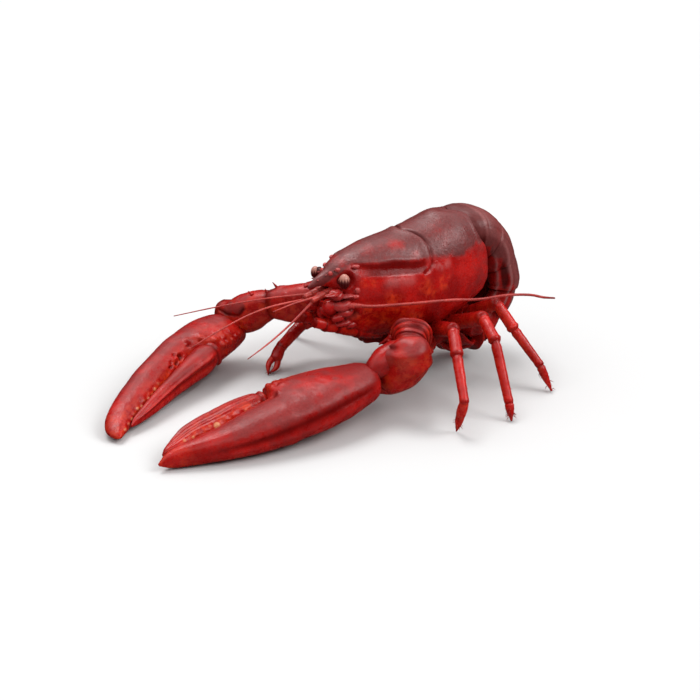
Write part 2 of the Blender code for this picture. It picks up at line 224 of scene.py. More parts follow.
def mirroredPart(part):
    flipped = dict(part)
    flipped["points"] = part["points"] * np.array([-1, 1, 1])
    flipped["quads"], flipped["fans"] = part["quads"][:, ::-1], part["fans"][:, ::-1]
    return flipped


def wholeRings(flank):
    # rings that run down one side, joined to their mirror image
    return np.concatenate([flank, (flank * np.array([-1, 1, 1]))[:, ::-1]], axis=1)


def bothFlanks(values):
    return np.concatenate([values, values[:, ::-1]], axis=1)


paintLayers = ("brown", "orange", "shade", "creamAndHighlight")


def buildPiece(name, parts, material, slotName, *nodes):
    # one mesh object from its parts, riding on the body and standing for its CAD nodes
    start, points, quads, fans = 0, [], [], []
    layers = {key: [] for key in paintLayers}
    for part in parts:
        count = len(part["points"])
        points.append(part["points"])
        quads.append(part["quads"] + start)
        fans.append(part["fans"] + start)
        for key in paintLayers:
            layers[key].append(part["paint"].get(key, np.zeros(count)))
        start += count
    points, quads, fans = np.vstack(points), np.vstack(quads), np.vstack(fans)
    mesh = bpy.data.meshes.new(name)
    mesh.vertices.add(len(points))
    mesh.vertices.foreach_set("co", (points * toMetres + homeSpot).astype(np.float32).ravel())
    mesh.loops.add(quads.size + fans.size)
    mesh.loops.foreach_set("vertex_index", np.r_[quads.ravel(), fans.ravel()].astype(np.int32))
    mesh.polygons.add(len(quads) + len(fans))
    starts = np.r_[np.arange(len(quads)) * 4, quads.size + np.arange(len(fans)) * 3]
    mesh.polygons.foreach_set("loop_start", starts.astype(np.int32))
    mesh.update(calc_edges=True)
    mesh.validate()
    mesh.shade_smooth()
    for key in paintLayers:
        layer = mesh.attributes.new(key, "FLOAT", "POINT")
        layer.data.foreach_set("value", np.concatenate(layers[key]).astype(np.float32))
    mesh.materials.append(material)
    piece = bpy.data.objects.new(name, mesh)
    bpy.context.scene.collection.objects.link(piece)
    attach(piece, "root")
    if nodes:
        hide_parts(*nodes)
    return piece


def crustMaterial(name, look):
    # boiled shell: mottled reds, a browned back, orange patches, grain and gloss; the shade layer is painted
    # shade (and dark joints), with the gloss turned down under it, and the pale layer is pale marks and
    # painted highlights
    made = bpy.data.materials.new(name)
    made.use_nodes = True
    tree = made.node_tree
    shader = tree.nodes["Principled BSDF"]

    def node(kind, inputs, **settings):
        fresh = tree.nodes.new(kind)
        for key, value in settings.items():
            setattr(fresh, key, value)
        for key, value in inputs.items():
            if isinstance(value, bpy.types.NodeSocket):
                tree.links.new(value, fresh.inputs[key])
            else:
                fresh.inputs[key].default_value = value
        return fresh

    def noise(scale, detail, rough=0.55):
        return node("ShaderNodeTexNoise", {"Vector": spots, "Scale": scale, "Detail": detail,
                                           "Roughness": rough}).outputs["Fac"]

    def spread(value, low, high, start=0.0, end=1.0):
        return node("ShaderNodeMapRange", {0: value, 1: low, 2: high, 3: start, 4: end},
                    interpolation_type="SMOOTHSTEP").outputs[0]

    def times(a, b):
        return node("ShaderNodeMath", {0: a, 1: b}, operation="MULTIPLY").outputs[0]

    def plus(a, b):
        return node("ShaderNodeMath", {0: a, 1: b}, operation="ADD").outputs[0]

    def blend(factor, first, second):
        return node("ShaderNodeMix", {0: factor, 6: first, 7: second}, data_type="RGBA").outputs[2]

    def layer(key):
        return node("ShaderNodeAttribute", {}, attribute_name=key).outputs["Fac"]

    spots = node("ShaderNodeTexCoord", {}).outputs["Object"]
    broad = noise(look["broadScale"], 4.0)
    mottle = noise(look["mottleScale"], 6.0, 0.65)
    fine = noise(look["fineScale"], 4.0, 0.6)
    grain = node("ShaderNodeTexVoronoi", {"Vector": spots, "Scale": look["grainScale"]}).outputs["Distance"]

    colour = blend(spread(broad, 0.35, 0.66), (*look["deep"], 1), (*look["bright"], 1))
    patches = times(layer("orange"), spread(mottle, 0.42, 0.62))
    colour = blend(patches, colour, (*look["orange"], 1))
    browned = spread(plus(layer("brown"), times(plus(mottle, -0.5), look["brownBreak"])), 0.12, 0.85)
    brownTone = blend(spread(fine, 0.3, 0.7), (*look["brown"], 1), (*look["brownLight"], 1))
    colour = blend(times(browned, look["brownDepth"]), colour, brownTone)
    flecks = times(spread(fine, 0.56, 0.72), look["fleck"])
    colour = blend(flecks, colour, (*look["dark"], 1))
    # painted shade and dark joints pull towards the dark colour; painted highlights and pale marks pull
    # towards the pale colour
    colour = blend(layer("shade"), colour, (*look["dark"], 1))
    colour = blend(layer("creamAndHighlight"), colour, (*look["creamAndHighlight"], 1))
    tree.links.new(colour, shader.inputs["Base Color"])

    dull = plus(spread(mottle, 0.3, 0.7, *look["gloss"]), times(browned, look["brownDull"]))
    tree.links.new(dull, shader.inputs["Roughness"])
    relief = plus(times(spread(grain, 0.0, 0.55, 1.0, 0.0), look["grainHeight"]), times(fine, 0.6))
    relief = plus(relief, times(mottle, 0.5))
    bump = node("ShaderNodeBump", {"Height": relief, "Strength": look["bumpStrength"], "Distance": 0.0004})
    tree.links.new(bump.outputs[0], shader.inputs["Normal"])
    sheen = times(spread(layer("shade"), 0.0, 0.8, 1.0, 0.2), look["specular"])
    tree.links.new(sheen, shader.inputs["Specular IOR Level"])
    shader.inputs["Coat Weight"].default_value = look["coat"]
    shader.inputs["Coat Roughness"].default_value = look["coatRough"]
    return made


baseLook = {
    "deep": (0.25, 0.0016, 0.0012), "bright": (0.40, 0.005, 0.003), "orange": (0.52, 0.035, 0.006),
    "brown": (0.070, 0.011, 0.011), "brownLight": (0.125, 0.020, 0.019), "dark": (0.040, 0.0006, 0.0006),
    "creamAndHighlight": (0.60, 0.28, 0.13), "broadScale": 60.0, "mottleScale": 190.0, "fineScale": 900.0,
    "grainScale": 1100.0, "brownBreak": 0.8, "brownDepth": 0.9, "fleck": 0.2, "gloss": (0.22, 0.36),
    "brownDull": 0.12, "grainHeight": 0.7, "bumpStrength": 0.35, "specular": 0.30, "coat": 0.04,
    "coatRough": 0.12,
}
shellCrust = crustMaterial("shellCrust", dict(
    baseLook, grainScale=900.0, specular=0.34, creamAndHighlight=(0.42, 0.16, 0.155), orange=(0.68, 0.042, 0.005),
    deep=(0.29, 0.0018, 0.0013), bright=(0.46, 0.0055, 0.0032)))
# the tail's browned back is its own brown, lightened and paled here as a painted sheen
tailCrust = crustMaterial("tailCrust", dict(
    baseLook, brownDepth=0.85, grainHeight=0.25, gloss=(0.2, 0.34), creamAndHighlight=(0.34, 0.14, 0.135),
    brown=(0.105, 0.031, 0.030), brownLight=(0.185, 0.055, 0.053)))
clawCrust = crustMaterial("clawCrust", dict(
    baseLook, deep=(0.26, 0.003, 0.0024), bright=(0.40, 0.008, 0.006), brown=(0.125, 0.012, 0.012),
    brownLight=(0.20, 0.022, 0.021), brownDepth=0.75, grainHeight=0.4, specular=0.22))
legCrust = crustMaterial("legCrust", dict(
    baseLook, deep=(0.32, 0.003, 0.002), bright=(0.50, 0.010, 0.006), fleck=0.12, mottleScale=300.0))
whipCrust = crustMaterial("whipCrust", dict(
    baseLook, deep=(0.30, 0.022, 0.018), bright=(0.48, 0.045, 0.035), dark=(0.10, 0.018, 0.018),
    mottleScale=400.0))
mouthCrust = crustMaterial("mouthCrust", dict(
    baseLook, deep=(0.27, 0.003, 0.003), bright=(0.44, 0.008, 0.006), gloss=(0.16, 0.3),
    creamAndHighlight=(0.46, 0.12, 0.115)))
eyeCrust = crustMaterial("eyeCrust", dict(
    baseLook, deep=(0.045, 0.006, 0.006), bright=(0.10, 0.02, 0.02), creamAndHighlight=(0.42, 0.17, 0.13),
    gloss=(0.1, 0.2)))
print("materials made")

carapaceShape = {
    # y, half width, top, bottom, half width at the lower margin
    "outline": [(-123, 0.8, 80.5, 78.5, 0.5), (-117, 2.6, 84.5, 78.5, 1.5), (-109, 5.5, 88.5, 77, 3.5),
                (-104.5, 11, 91.6, 62, 8), (-101.5, 14.5, 93.3, 49, 11.5), (-98, 16.5, 94.8, 44.5, 13.5),
                (-88, 20.5, 98, 40.5, 16), (-68, 25.5, 101.5, 37, 19.5), (-45, 28, 103.6, 36.5, 21.5),
                (-25, 29.5, 107.4, 36.5, 22.5), (-8, 28.5, 110.4, 38, 22), (8, 25.5, 109.0, 45, 20)],
    "groove": [(0, -48.5, 104), (5.3, -46.3, 103.3), (10, -44.2, 102), (14.6, -42.2, 100.4),
               (18.5, -41.4, 98), (21.3, -41.2, 95.5), (24.9, -41.7, 88.9), (26.3, -42.4, 84.7),
               (26.9, -45.3, 81.8), (26.9, -49.5, 79.9)],
    "browRidge": [(8.6, -96.4, 94), (12, -92, 92.9), (17, -80, 91.7), (19.4, -69, 92), (22.2, -59, 90.3),
                  (23.6, -52, 89.4)],
    "browHollow": [(13.5, -93, 88.6), (16.8, -84, 87.4), (19.8, -76, 87), (22.5, -66, 86.3),
                   (24.6, -57, 85), (25.6, -50, 84.4), (25.8, -46.5, 85)],
    "cheekLine": [(18.4, -88.3, 83.5), (21.4, -78.4, 82.6), (23.9, -68.1, 81.9), (25.7, -58.8, 80.9),
                  (26.9, -50.5, 80.2)],
    "cheek": [(22.8, -76, 78.9), (24.6, -67.5, 78.2), (25.9, -60, 77.4)],
    "grooveDepth": 1.5, "grooveWidth": 1.05, "ridgeHeight": 0.9, "hollowDepth": 1.1, "cheekHeight": 0.8,
    "grainSize": 1.5, "grainHeight": 0.16, "swell": 0.28, "sides": 136,
    # the rolled rear edge, each ring's inset and how far back it stands
    "lip": [(0.5, 0.55), (1.2, 0.7), (1.9, 0.2), (2.3, -1.5), (2.6, -4), (3.0, -9)],
    # pale spots and painted highlights, most of them on the cheek bulge
    "paleAndHighlightPatches": [((26.8, -41.5, 83.5), 3.2), ((27.6, -37, 82.4), 4.5), ((28.2, -31, 83), 4.5),
                    ((24.6, -66, 78.4), 4.2), ((23.4, -73, 78.8), 3.6), ((25.6, -60.5, 77.8), 3.4)],
    "orangePatches": [((27.5, -50, 73), 7), ((27.8, -45.5, 67), 8), ((18.1, -92, 80.7), 4),
                      ((19.5, -87, 79.6), 4), ((28.4, -35, 72), 8), ((18, -92, 58), 13),
                      ((22, -78, 54), 14), ((26, -55, 50), 14), ((23, -74, 68), 8), ((24, -66, 60), 11)],
    "redPatches": [((22.5, -52, 92.5), 6.5), ((8, -81, 99), 11), ((5, -101, 93), 9), ((12, -62, 100), 9)],
    "browned": [(-123, 73), (-112, 80), (-103, 87.5), (-96, 92.3), (-92, 91.9), (-80, 90.8), (-69, 91.1),
                (-59, 89.4), (-51.5, 88.6), (-46, 89.5), (-39, 89.3), (-24, 86.5), (-10, 86.5), (8, 90)],
}


def carapaceGrid(shape):
    stations = np.r_[np.linspace(-123, -108, 24, endpoint=False), np.linspace(-108, -95, 38, endpoint=False),
                     np.linspace(-95, 8, 164)]
    width, top, bottom, margin = (column[:, None] for column in smoothRows(shape["outline"], stations).T)
    waist = bottom + 0.46 * (top - bottom)
    # down each side: the back, then the flank, then the underside
    backEnd, flankEnd, flankShare, underShare = 0.40, 0.86, 0.46, 0.14
    down = (np.arange(shape["sides"]) + 0.5)[None, :] / shape["sides"]
    rise = np.pi / 2 * (1 - np.clip(down / backEnd, 0, 1))
    fall = np.arcsin(0.93) * np.clip((down - backEnd) / flankShare, 0, 1)
    under = np.clip((down - flankEnd) / underShare, 0, 1)
    s, c = np.sin(fall), np.cos(fall)
    flankX = (width + (margin - width) * s**1.3) * c**0.42
    flankZ = waist - (waist - bottom) * s**0.8
    x = np.where(down < backEnd, width * np.cos(rise) ** 0.86, flankX)
    z = np.where(down < backEnd, waist + (top - waist) * np.sin(rise) ** 0.94, flankZ)
    tuck = ease(stations, -100, -84)[:, None]
    x = x * (1 - under)
    z = z + tuck * (7 * ease(under, 0.12, 0.5) - 0.9 * nearSpot(under[..., None], [0.07], 0.09))
    y = np.broadcast_to(stations[:, None], x.shape)
    return wholeRings(np.stack([x, y, z], axis=-1))


def rearNotch(points):
    # how far the rear edge is drawn forward: a notch at the middle and at the lower corners
    x, z = np.abs(points[..., 0]), points[..., 2]
    above = np.interp(x, [0, 3, 7, 12, 19, 23, 24.2, 25.5], [17, 15.5, 11, 7, 6.5, 5.5, 3.2, 2])
    below = np.interp(z, [44, 50, 56, 64, 74], [9, 5, 1.5, 0.5, 1.8])
    return np.where(z > 74, above, below)


def carapacePart(shape):
    grid = carapaceGrid(shape)
    mirror = grid.copy()  # both sides folded onto the left
    mirror[..., 0] = np.abs(mirror[..., 0])
    outer = ease(grid[..., 2], 40, 50)
    groove = nearLine(mirror, shape["groove"], shape["grooveWidth"])
    bank = nearLine(mirror + np.array([0, 3.2, 0]), shape["groove"], 3.0)
    ridge = nearLine(mirror, shape["browRidge"], 1.9)
    hollow = nearLine(mirror, shape["browHollow"], 3.2)
    cheek = nearLine(mirror, shape["cheek"], 3.2)
    cheekLine = nearLine(mirror, shape["cheekLine"], 0.75)
    y = grid[..., 1]
    rearRim = ease(y, 2.6, 4.4)
    seam = bell(mirror[..., 0], 0.5) * ease(y, -46, -40)
    orbit = nearSpot(mirror, (13.5, -103.5, 83.5), 7.5)
    cornerDip = nearSpot(mirror, (15.2, -99, 61.5), 5.0)
    behind = ease(y, -44, -30) * ease(grid[..., 2], 60, 90)
    grains = pebbles(grid, shape["grainSize"], 3) * (0.35 + 0.65 * behind) * ease(grid[..., 2], 50, 75)
    pits = pebbles(grid, 3.1, 9) * (1 - behind) * 0.10
    height = (shape["swell"] * softNoise(grid, 15, 1) + 0.12 * softNoise(grid, 5, 2)
              - shape["grooveDepth"] * groove + 0.55 * bank + shape["ridgeHeight"] * ridge
              - shape["hollowDepth"] * hollow + shape["cheekHeight"] * cheek + 0.45 * cheekLine
              - 1.2 * cornerDip
              + 0.25 * rearRim - 0.3 * seam - 4.0 * orbit
              + shape["grainHeight"] * grains - pits)
    grid = raised(grid, height * np.where(outer > 0.02, 1.0, 0.2))
    shift = rearNotch(grid) * ease(grid[..., 1], -42, 8)
    grid[..., 1] -= shift
    lip = []
    middle = np.array([0, 0, 78.0])
    for inset, back in shape["lip"]:
        ring = grid[-1].copy()
        reach = np.linalg.norm((ring - middle)[:, [0, 2]], axis=1, keepdims=True)
        ring[:, [0, 2]] -= (ring - middle)[:, [0, 2]] * inset / reach
        ring[:, 1] += back
        lip.append(ring)
    grid = np.concatenate([grid, np.array(lip)])
    extra = len(lip)
    skin = grid[:-extra]

    def carried(values):
        return np.concatenate([values, np.repeat(values[-1:], extra, axis=0)])

    edge = np.interp(y, *np.array(shape["browned"]).T)
    ragged = 3.0 * softNoise(skin, 9, 21) + 1.8 * softNoise(skin, 3.5, 22)
    loose = 0.16 + 0.84 * ease(y, -50, -38)
    brown = ease(skin[..., 2] + ragged * loose, edge - 1.2 - 4.0 * loose, edge + 1.2 + 4.0 * loose)
    border = 4 * brown * (1 - brown)
    for spot, radius in shape["redPatches"]:
        brown = brown * (1 - 0.34 * nearSpot(mirror, spot, radius))
    brown = brown * (0.85 + 0.15 * softNoise(skin, 16, 23))
    rearTone = 0.35 * ease(y, -22, 0) * ease(skin[..., 2], 52, 66)
    brown = np.maximum(brown, rearTone)
    # pale speckle along the brown border, and painted highlights on the cheek bulge, the line under the brow
    # and the bank before the neck groove
    paleAndHighlight = 0.0
    for spot, radius in shape["paleAndHighlightPatches"]:
        paleAndHighlight = np.maximum(paleAndHighlight, nearSpot(mirror, spot, radius))
    paleAndHighlight = (0.75 * paleAndHighlight + 0.12 * border) * ease(softNoise(skin, 2.2, 24), -0.8, 0.5)
    paleAndHighlight = np.maximum(paleAndHighlight, 0.4 * cheekLine * ease(y, -90, -70) + 0.16 * bank * ease(skin[..., 2], 80, 90))
    paleAndHighlight = np.maximum(paleAndHighlight, 0.75 * cheek * (0.7 + 0.3 * softNoise(skin, 4, 25)))
    patches = 0.0
    for spot, radius in shape["orangePatches"]:
        patches = np.maximum(patches, 0.8 * nearSpot(mirror, spot, radius))
    # a band of painted shade under the brow ridge, down to the cheek line
    below = np.interp(y, *np.array(shape["cheekLine"])[:, 1:].T)
    band = (ease(mirror[..., 2] - below, -0.2, 0.9) * (1 - ease(mirror[..., 2], edge - 1.2, edge + 0.4))
            * ease(y, -97, -86) * (1 - ease(y, -48.5, -45)))
    paleAndHighlight = paleAndHighlight * (1 - 0.9 * band)
    # painted shade: the neck groove, the band under the brow, the eye socket and round it, the dip at the
    # front corner, the tucked-in lower margin, and the lip's inner rings inside the shell
    shade = np.maximum(0.85 * groove, 0.66 * band) + 0.95 * orbit + 0.7 * cornerDip
    shade = np.maximum(shade, 0.6 * nearSpot(mirror, (14, -99.5, 85), 9.5))
    tucked = (np.arange(shape["sides"]) + 0.5) / shape["sides"]
    tucked = ease(np.concatenate([tucked, tucked[::-1]]), 0.82, 0.90)[None, :]
    shade = np.maximum(shade, tucked)
    lipShade = carried(np.clip(shade, 0, 1))
    lipShade[-4:] = 1.0
    paint = {"brown": carried(brown), "orange": carried(patches + 0 * y), "shade": lipShade,
             "creamAndHighlight": carried(0.55 * np.clip(paleAndHighlight, 0, 1))}
    return gridPart(grid, paint)


def lump(spot, sizes, seed, paint=None, up=(0, 0, 1), lean=(0, 1, 0), rough=0.12, rings=20, sides=26):
    # a rounded, slightly uneven knob: half sizes across, along and up
    spot, lean = np.array(spot, float), np.array(lean, float)
    lean /= np.linalg.norm(lean)
    turn = np.linspace(0.06, np.pi - 0.06, rings)[:, None]
    around = np.linspace(0, 2 * np.pi, sides, endpoint=False)[None, :]
    side = np.cross(lean, np.array(up, float))
    side /= np.linalg.norm(side)
    top = np.cross(side, lean)
    grid = (spot - np.cos(turn)[..., None] * sizes[1] * lean
            + (np.sin(turn) * np.cos(around))[..., None] * sizes[0] * side
            + (np.sin(turn) * np.sin(around))[..., None] * sizes[2] * top)
    grid = raised(grid, rough * min(sizes) * softNoise(grid, min(sizes) * 0.9, seed)
                  + 0.05 * pebbles(grid, 1.1, seed + 1))
    return gridPart(grid, paint)


beakShape = {
    # place, how far the tip stands off it, thickness
    "thorns": [((2.6, -117, 83.4), (0.4, -1.3, 0.3), 0.5), ((3.9, -111.5, 86.0), (0.4, -1.3, 0.3), 0.55),
               ((5.4, -106, 88.4), (0.4, -1.2, 0.4), 0.55)],
    # place, half sizes
    "knobs": [((12.2, -94.6, 90.4), (1.5, 2.6, 1.3)), ((4.4, -108.5, 86.6), (1.3, 1.6, 1.5)),
              ((6.6, -104.4, 88.6), (1.4, 1.7, 1.5)), ((16.4, -96.6, 76.2), (1.5, 1.9, 2.0)),
              ((17.0, -98.2, 72.6), (1.5, 2.2, 1.3))],
}


def beakParts(shape):
    # small thorns along the beak, and the pale knobs round each eye
    parts = []
    for spot, lean, size in shape["thorns"]:
        thorn = spikePart(spot, np.array(spot) + np.array(lean), size, {"brown": 0.6})
        parts += [thorn, mirroredPart(thorn)]
    for k, (spot, sizes) in enumerate(shape["knobs"]):
        knob = lump(spot, sizes, 780 + 3 * k, {"creamAndHighlight": 0.22, "brown": 0.12}, lean=(0.3, 1, 0))
        parts += [knob, mirroredPart(knob)]
    return parts


buildPiece("carapaceShell", [carapacePart(carapaceShape), *beakParts(beakShape)], shellCrust,
           "shell", "carapace")
print("carapace shaped")

tailShape = {
    "centre": (4.0, 53.4), "reach": [(40, 40.5), (62, 42), (88, 44.6), (125, 41)],
    "height": [(15, 56.0), (60, 55.6), (120, 49.5)],
    "pinch": [(60, 0.95), (120, 2.2)], "drift": (95, 175, 10.0),
    "angles": [4, 34, 64, 94, 123, 152, 184], "halfWidths": [24, 25, 24.5, 22, 18.5, 16],
    "thicknesses": [34, 34, 33, 30, 26, 22],
    "tuck": 9.0, "overlap": 2.0, "sink": 0.8, "lip": 0.25, "flapBulge": 0.7, "flapTaper": 0.14,
    "firstTuck": 30.0, "firstSink": 1.2, "firstRings": 74, "rings": 56, "sides": 84,
}


def tailPoint(shape, angle, depth):
    # y and z on the curled tail, or that deep below its back; 0 degrees is the top, 180 the floor
    a = np.radians(angle)
    rise = np.where(angle < 0, np.cos(a) ** 0.25, np.cos(a))
    reach, height, pinch = (np.interp(angle, *np.array(shape[key]).T) for key in ("reach", "height", "pinch"))
    back = np.sign(np.sin(a)) * np.abs(np.sin(a)) ** pinch
    start, end, forward = shape["drift"]
    return (shape["centre"][0] + forward * ease(angle, start, end) + (reach - depth) * back,
            shape["centre"][1] + (height - depth) * rise)


def tailRingPart(shape, number):
    start, end = shape["angles"][number - 1], shape["angles"][number]
    width, thickness = shape["halfWidths"][number - 1], shape["thicknesses"][number - 1]
    tuck = shape["firstTuck"] if number == 1 else shape["tuck"]
    t = np.linspace(0, 1, shape["firstRings"] if number == 1 else shape["rings"])[:, None]
    angle = start - tuck + t * (end + shape["overlap"] - start + tuck)
    shown = (angle - start) / (end - start)
    down = (np.arange(shape["sides"]) + 0.5)[None, :] / shape["sides"]
    turn = np.radians(90 - 140 * np.clip(down / 0.8, 0, 1))
    s, c = np.sin(turn), np.cos(turn)
    under = np.clip((down - 0.8) / 0.2, 0, 1)
    bulge = 1.0 - 0.02 * (2 * shown - 1) ** 2
    notch = np.interp(angle, [95, 120], [0.04, 0.14])
    lobe = 1.0 - notch * np.clip(np.abs(shown - 0.56) / 0.5, 0, 1.2) ** 2.2
    flap = ease(-s, 0.0, 0.75)
    x = width * bulge * np.abs(c) ** 0.8 * (1 - under)
    rounded = np.sign(s) * np.abs(s) ** 0.9 * np.where(s < 0, lobe, 1.0)
    depth = thickness / 2 * (1 - rounded) + (1 - bulge) * 20
    depth = depth - 6.0 * ease(under, 0.1, 0.6)
    middle = start + (end - start) * 0.56
    turned = middle + (angle - middle) * (1 - shape["flapTaper"] * flap)
    y, z = tailPoint(shape, turned, depth)
    grid = wholeRings(np.stack([x + 0 * y, y, z], axis=-1))
    s, shown = bothFlanks(s + 0 * shown), bothFlanks(shown + 0 * s)
    under = bothFlanks(under) + 0 * shown
    onFlap = ease(-s, -0.25, 0.2) * (1 - under)
    lens = bell(shown - 0.55, 0.24)
    around = angle + 0 * s
    # one long sunken panel runs down the side, darkened inside with painted shade, with a pale line of
    # painted highlight on either edge of it
    panelMiddle = np.interp(around, [40, 62, 80, 110], [-0.10, -0.22, -0.31, -0.38])
    fromPanel = np.sqrt(((s - panelMiddle) / 0.19) ** 2 + ((around - 76) / 24) ** 2)
    panel = ease(1 - fromPanel, 0.0, 0.45) * (1 - under)
    inStretch = ease(around, 30, 50) * (1 - ease(around, 108, 135)) * (1 - under)
    panelRim = (bell(s - panelMiddle - 0.27, 0.06)
                + 0.7 * bell(s - panelMiddle + 0.27, 0.06)) * inStretch
    seam = bell(s - 0.42, 0.06) * ease(shown, -0.05, 0.2)
    knob = bell(s + 0.30, 0.09) * bell(shown - 0.9, 0.07)
    crease = bell(shown - 0.2, 0.035) * ease(s, -0.1, 0.2)
    rim = bell(shown - 0.93, 0.05)
    sink = shape["sink"] * (1 - ease(shown, -0.05, 0.15))
    if number == 1:
        sink = shape["firstSink"] * (1 - ease(shown, -0.5, -0.2))
    height = (-sink + shape["lip"] * ease(shown, 0.88, 0.96) + shape["flapBulge"] * onFlap * lens
              + 0.5 * panelRim - 0.9 * panel
              - 0.2 * seam + 0.6 * knob - 0.15 * crease
              + 0.22 * softNoise(grid, 9, 40 + number) + 0.06 * softNoise(grid, 2.2, 50 + number)
              + 0.05 * pebbles(grid, 1.7, 60 + number) * ease(s, 0.2, 0.6))
    grid = raised(grid, height * (1 - 0.9 * under))
    grid[..., 2] = np.maximum(grid[..., 2], 0.0)
    lowEdge = np.interp(angle, [0, 35, 70, 95, 120, 180], [-0.3, -0.45, -0.2, 0.08, 0.35, 0.6])
    brown = ease(s + 0.16 * softNoise(grid, 8, 70 + number) + 0.10 * softNoise(grid, 3, 76 + number),
                 lowEdge - 0.15, lowEdge + 0.25)
    brown = np.maximum(brown * (1 - 0.2 * ease(shown, 0.1, 0.7)), 0.5 * rim)
    brown = np.maximum(np.maximum(brown, 0.45 * panel), 0.9 * panelRim)
    # painted shade: under the ring in front, in the seam and crease, underneath, in the panel and on the
    # inner side of the curl
    inner = ease(-s, -0.22, 0.05) * (1 - ease(around, 125, 150))
    shade = np.clip(0.45 * (1 - ease(shown, -0.05, 0.06)) + 0.2 * seam + 0.2 * crease + under
                    + 0.4 * panel + 0.5 * inner * (1 - np.clip(panelRim, 0, 1)), 0, 1)
    orange = 0.8 * onFlap * ease(softNoise(grid, 6, 90), -0.3, 0.5) * ease(angle, 90, 150)
    return gridPart(grid, {"brown": brown, "shade": shade, "orange": orange, "creamAndHighlight": 0.30 * panelRim})


def tailCorePart(shape):
    # the meat between the rings, painted dark as the shade in the gaps
    angle = np.linspace(0, 178, 90)[:, None]
    turn = np.linspace(0, 2 * np.pi, 64, endpoint=False)[None, :]
    width = np.interp(angle, [20, 80, 180], [19.5, 22, 15])
    thick = np.interp(angle, [0, 180], [27, 17])
    depth = 3.5 + thick / 2 * (1 - np.sin(turn))
    y, z = tailPoint(shape, angle, depth)
    grid = np.stack([width * np.cos(turn), y, np.maximum(z, 0.6)], axis=-1)
    grid = raised(grid, 0.5 * softNoise(grid, 4, 95))
    return gridPart(grid, {"shade": 0.8})


meatShape = {
    "rows": [(0, -36, 70, 20, 26), (0, -22, 71, 24, 32.5), (0, -10, 73.5, 24.5, 34.5),
             (0, -4, 74.5, 23, 33.5), (0, 0, 75, 18, 29), (0, 3, 75, 12, 22)],
    "shade": 0.72,
}


def bodyMeatPart(shape):
    # the flesh that closes the shell behind, painted dark as the shade inside the shell
    grid = tubeGrid(shape["rows"], 50, 70, square=0.9, blunt=0.4)[0]
    grid = raised(grid, 0.6 * softNoise(grid, 5, 96))
    return gridPart(grid, {"shade": shape["shade"]})


for number in range(1, 7):
    ring = tailRingPart(tailShape, number)
    buildPiece(f"tailRing{number}", [ring], tailCrust, "tail", f"tail_ring_{number}")
buildPiece("tailMeat", [tailCorePart(tailShape), bodyMeatPart(meatShape)], tailCrust, "tail")


def paddlePart(rows, side, ribs, flat):
    # a thin fan blade with lengthwise ribs and a rounded end
    rows = np.array(rows, float)
    rows[:, 0] *= side
    grid, share, angles = tubeGrid(rows, 46, 72, square=0.9, blunt=1.6)
    wave = np.cos(np.cos(angles) * ribs * np.pi) * ease(share, 0.05, 0.3)
    height = 0.28 * wave + 0.12 * softNoise(grid, 2.5, 12) + flat * bell(np.cos(angles), 0.12)
    grid = raised(grid, height)
    # painted shade in the valleys between the ribs; darker towards the blade's end
    shade = 0.35 * (1 - (0.5 + 0.5 * wave)) + 0.3 * ease(share, 0.8, 1.0)
    return gridPart(grid, {"shade": shade + 0 * height, "brown": 0.2})


fanShape = {
    "telson": [(0, 8, 10, 10, 3.2), (0, -9, 12, 10.5, 2.2), (0, -20, 22, 8, 1.5)],
    "innerPaddle": [(8, 8, 14, 5.5, 2.4), (14, -6, 18.5, 9, 1.7), (18, -15, 28, 6.5, 1.2)],
    "outerPaddle": [(11, 8, 20, 5, 2.4), (21, -3, 27.5, 8, 1.6), (28, -8, 37, 6, 1.2)],
}
buildPiece("telsonBlade", [paddlePart(fanShape["telson"], 1, 3, 0.5)], tailCrust, "tail", "telson")
for side, label in ((1, "left"), (-1, "right")):
    for key, node in (("innerPaddle", "inner_paddle_"), ("outerPaddle", "outer_paddle_")):
        blade = paddlePart(fanShape[key], side, 2, 0.7)
        buildPiece(f"{key}.{label}", [blade], tailCrust, "tail", node + label)
print("tail shaped")


def clawFrame(claw):
    base, tip = np.array(claw["base"], float), np.array(claw["tip"], float)
    length = np.linalg.norm(tip - base)
    way = (tip - base) / length
    outward = np.cross(way, (0, 0, 1))
    outward *= -claw["side"] / np.linalg.norm(outward)
    upward = np.cross(way, outward) * claw["side"]
    upward *= math.copysign(1, upward[2])
    return base, way * length, outward, upward


def clawSurface(claw, outline, share, angle, square=1.0):
    # a point of the palm or finger at a share of the claw's length and an angle round it
    base, run, outward, upward = clawFrame(claw)
    share, angle = np.broadcast_arrays(np.asarray(share, float), np.asarray(angle, float))
    rows = smoothRows(outline, share.ravel()).reshape(*share.shape, 3)
    half, thick = claw["width"] / 2, claw["thickness"] / 2
    middle = half * (rows[..., 0] + rows[..., 1]) / 2
    reach = half * (rows[..., 0] - rows[..., 1]) / 2
    c, s = np.cos(angle), np.sin(angle)
    across = middle + reach * np.sign(c) * np.abs(c) ** square
    tall = thick * rows[..., 2] * np.sign(s) * np.abs(s) ** square
    return base + share[..., None] * run + across[..., None] * outward + tall[..., None] * upward


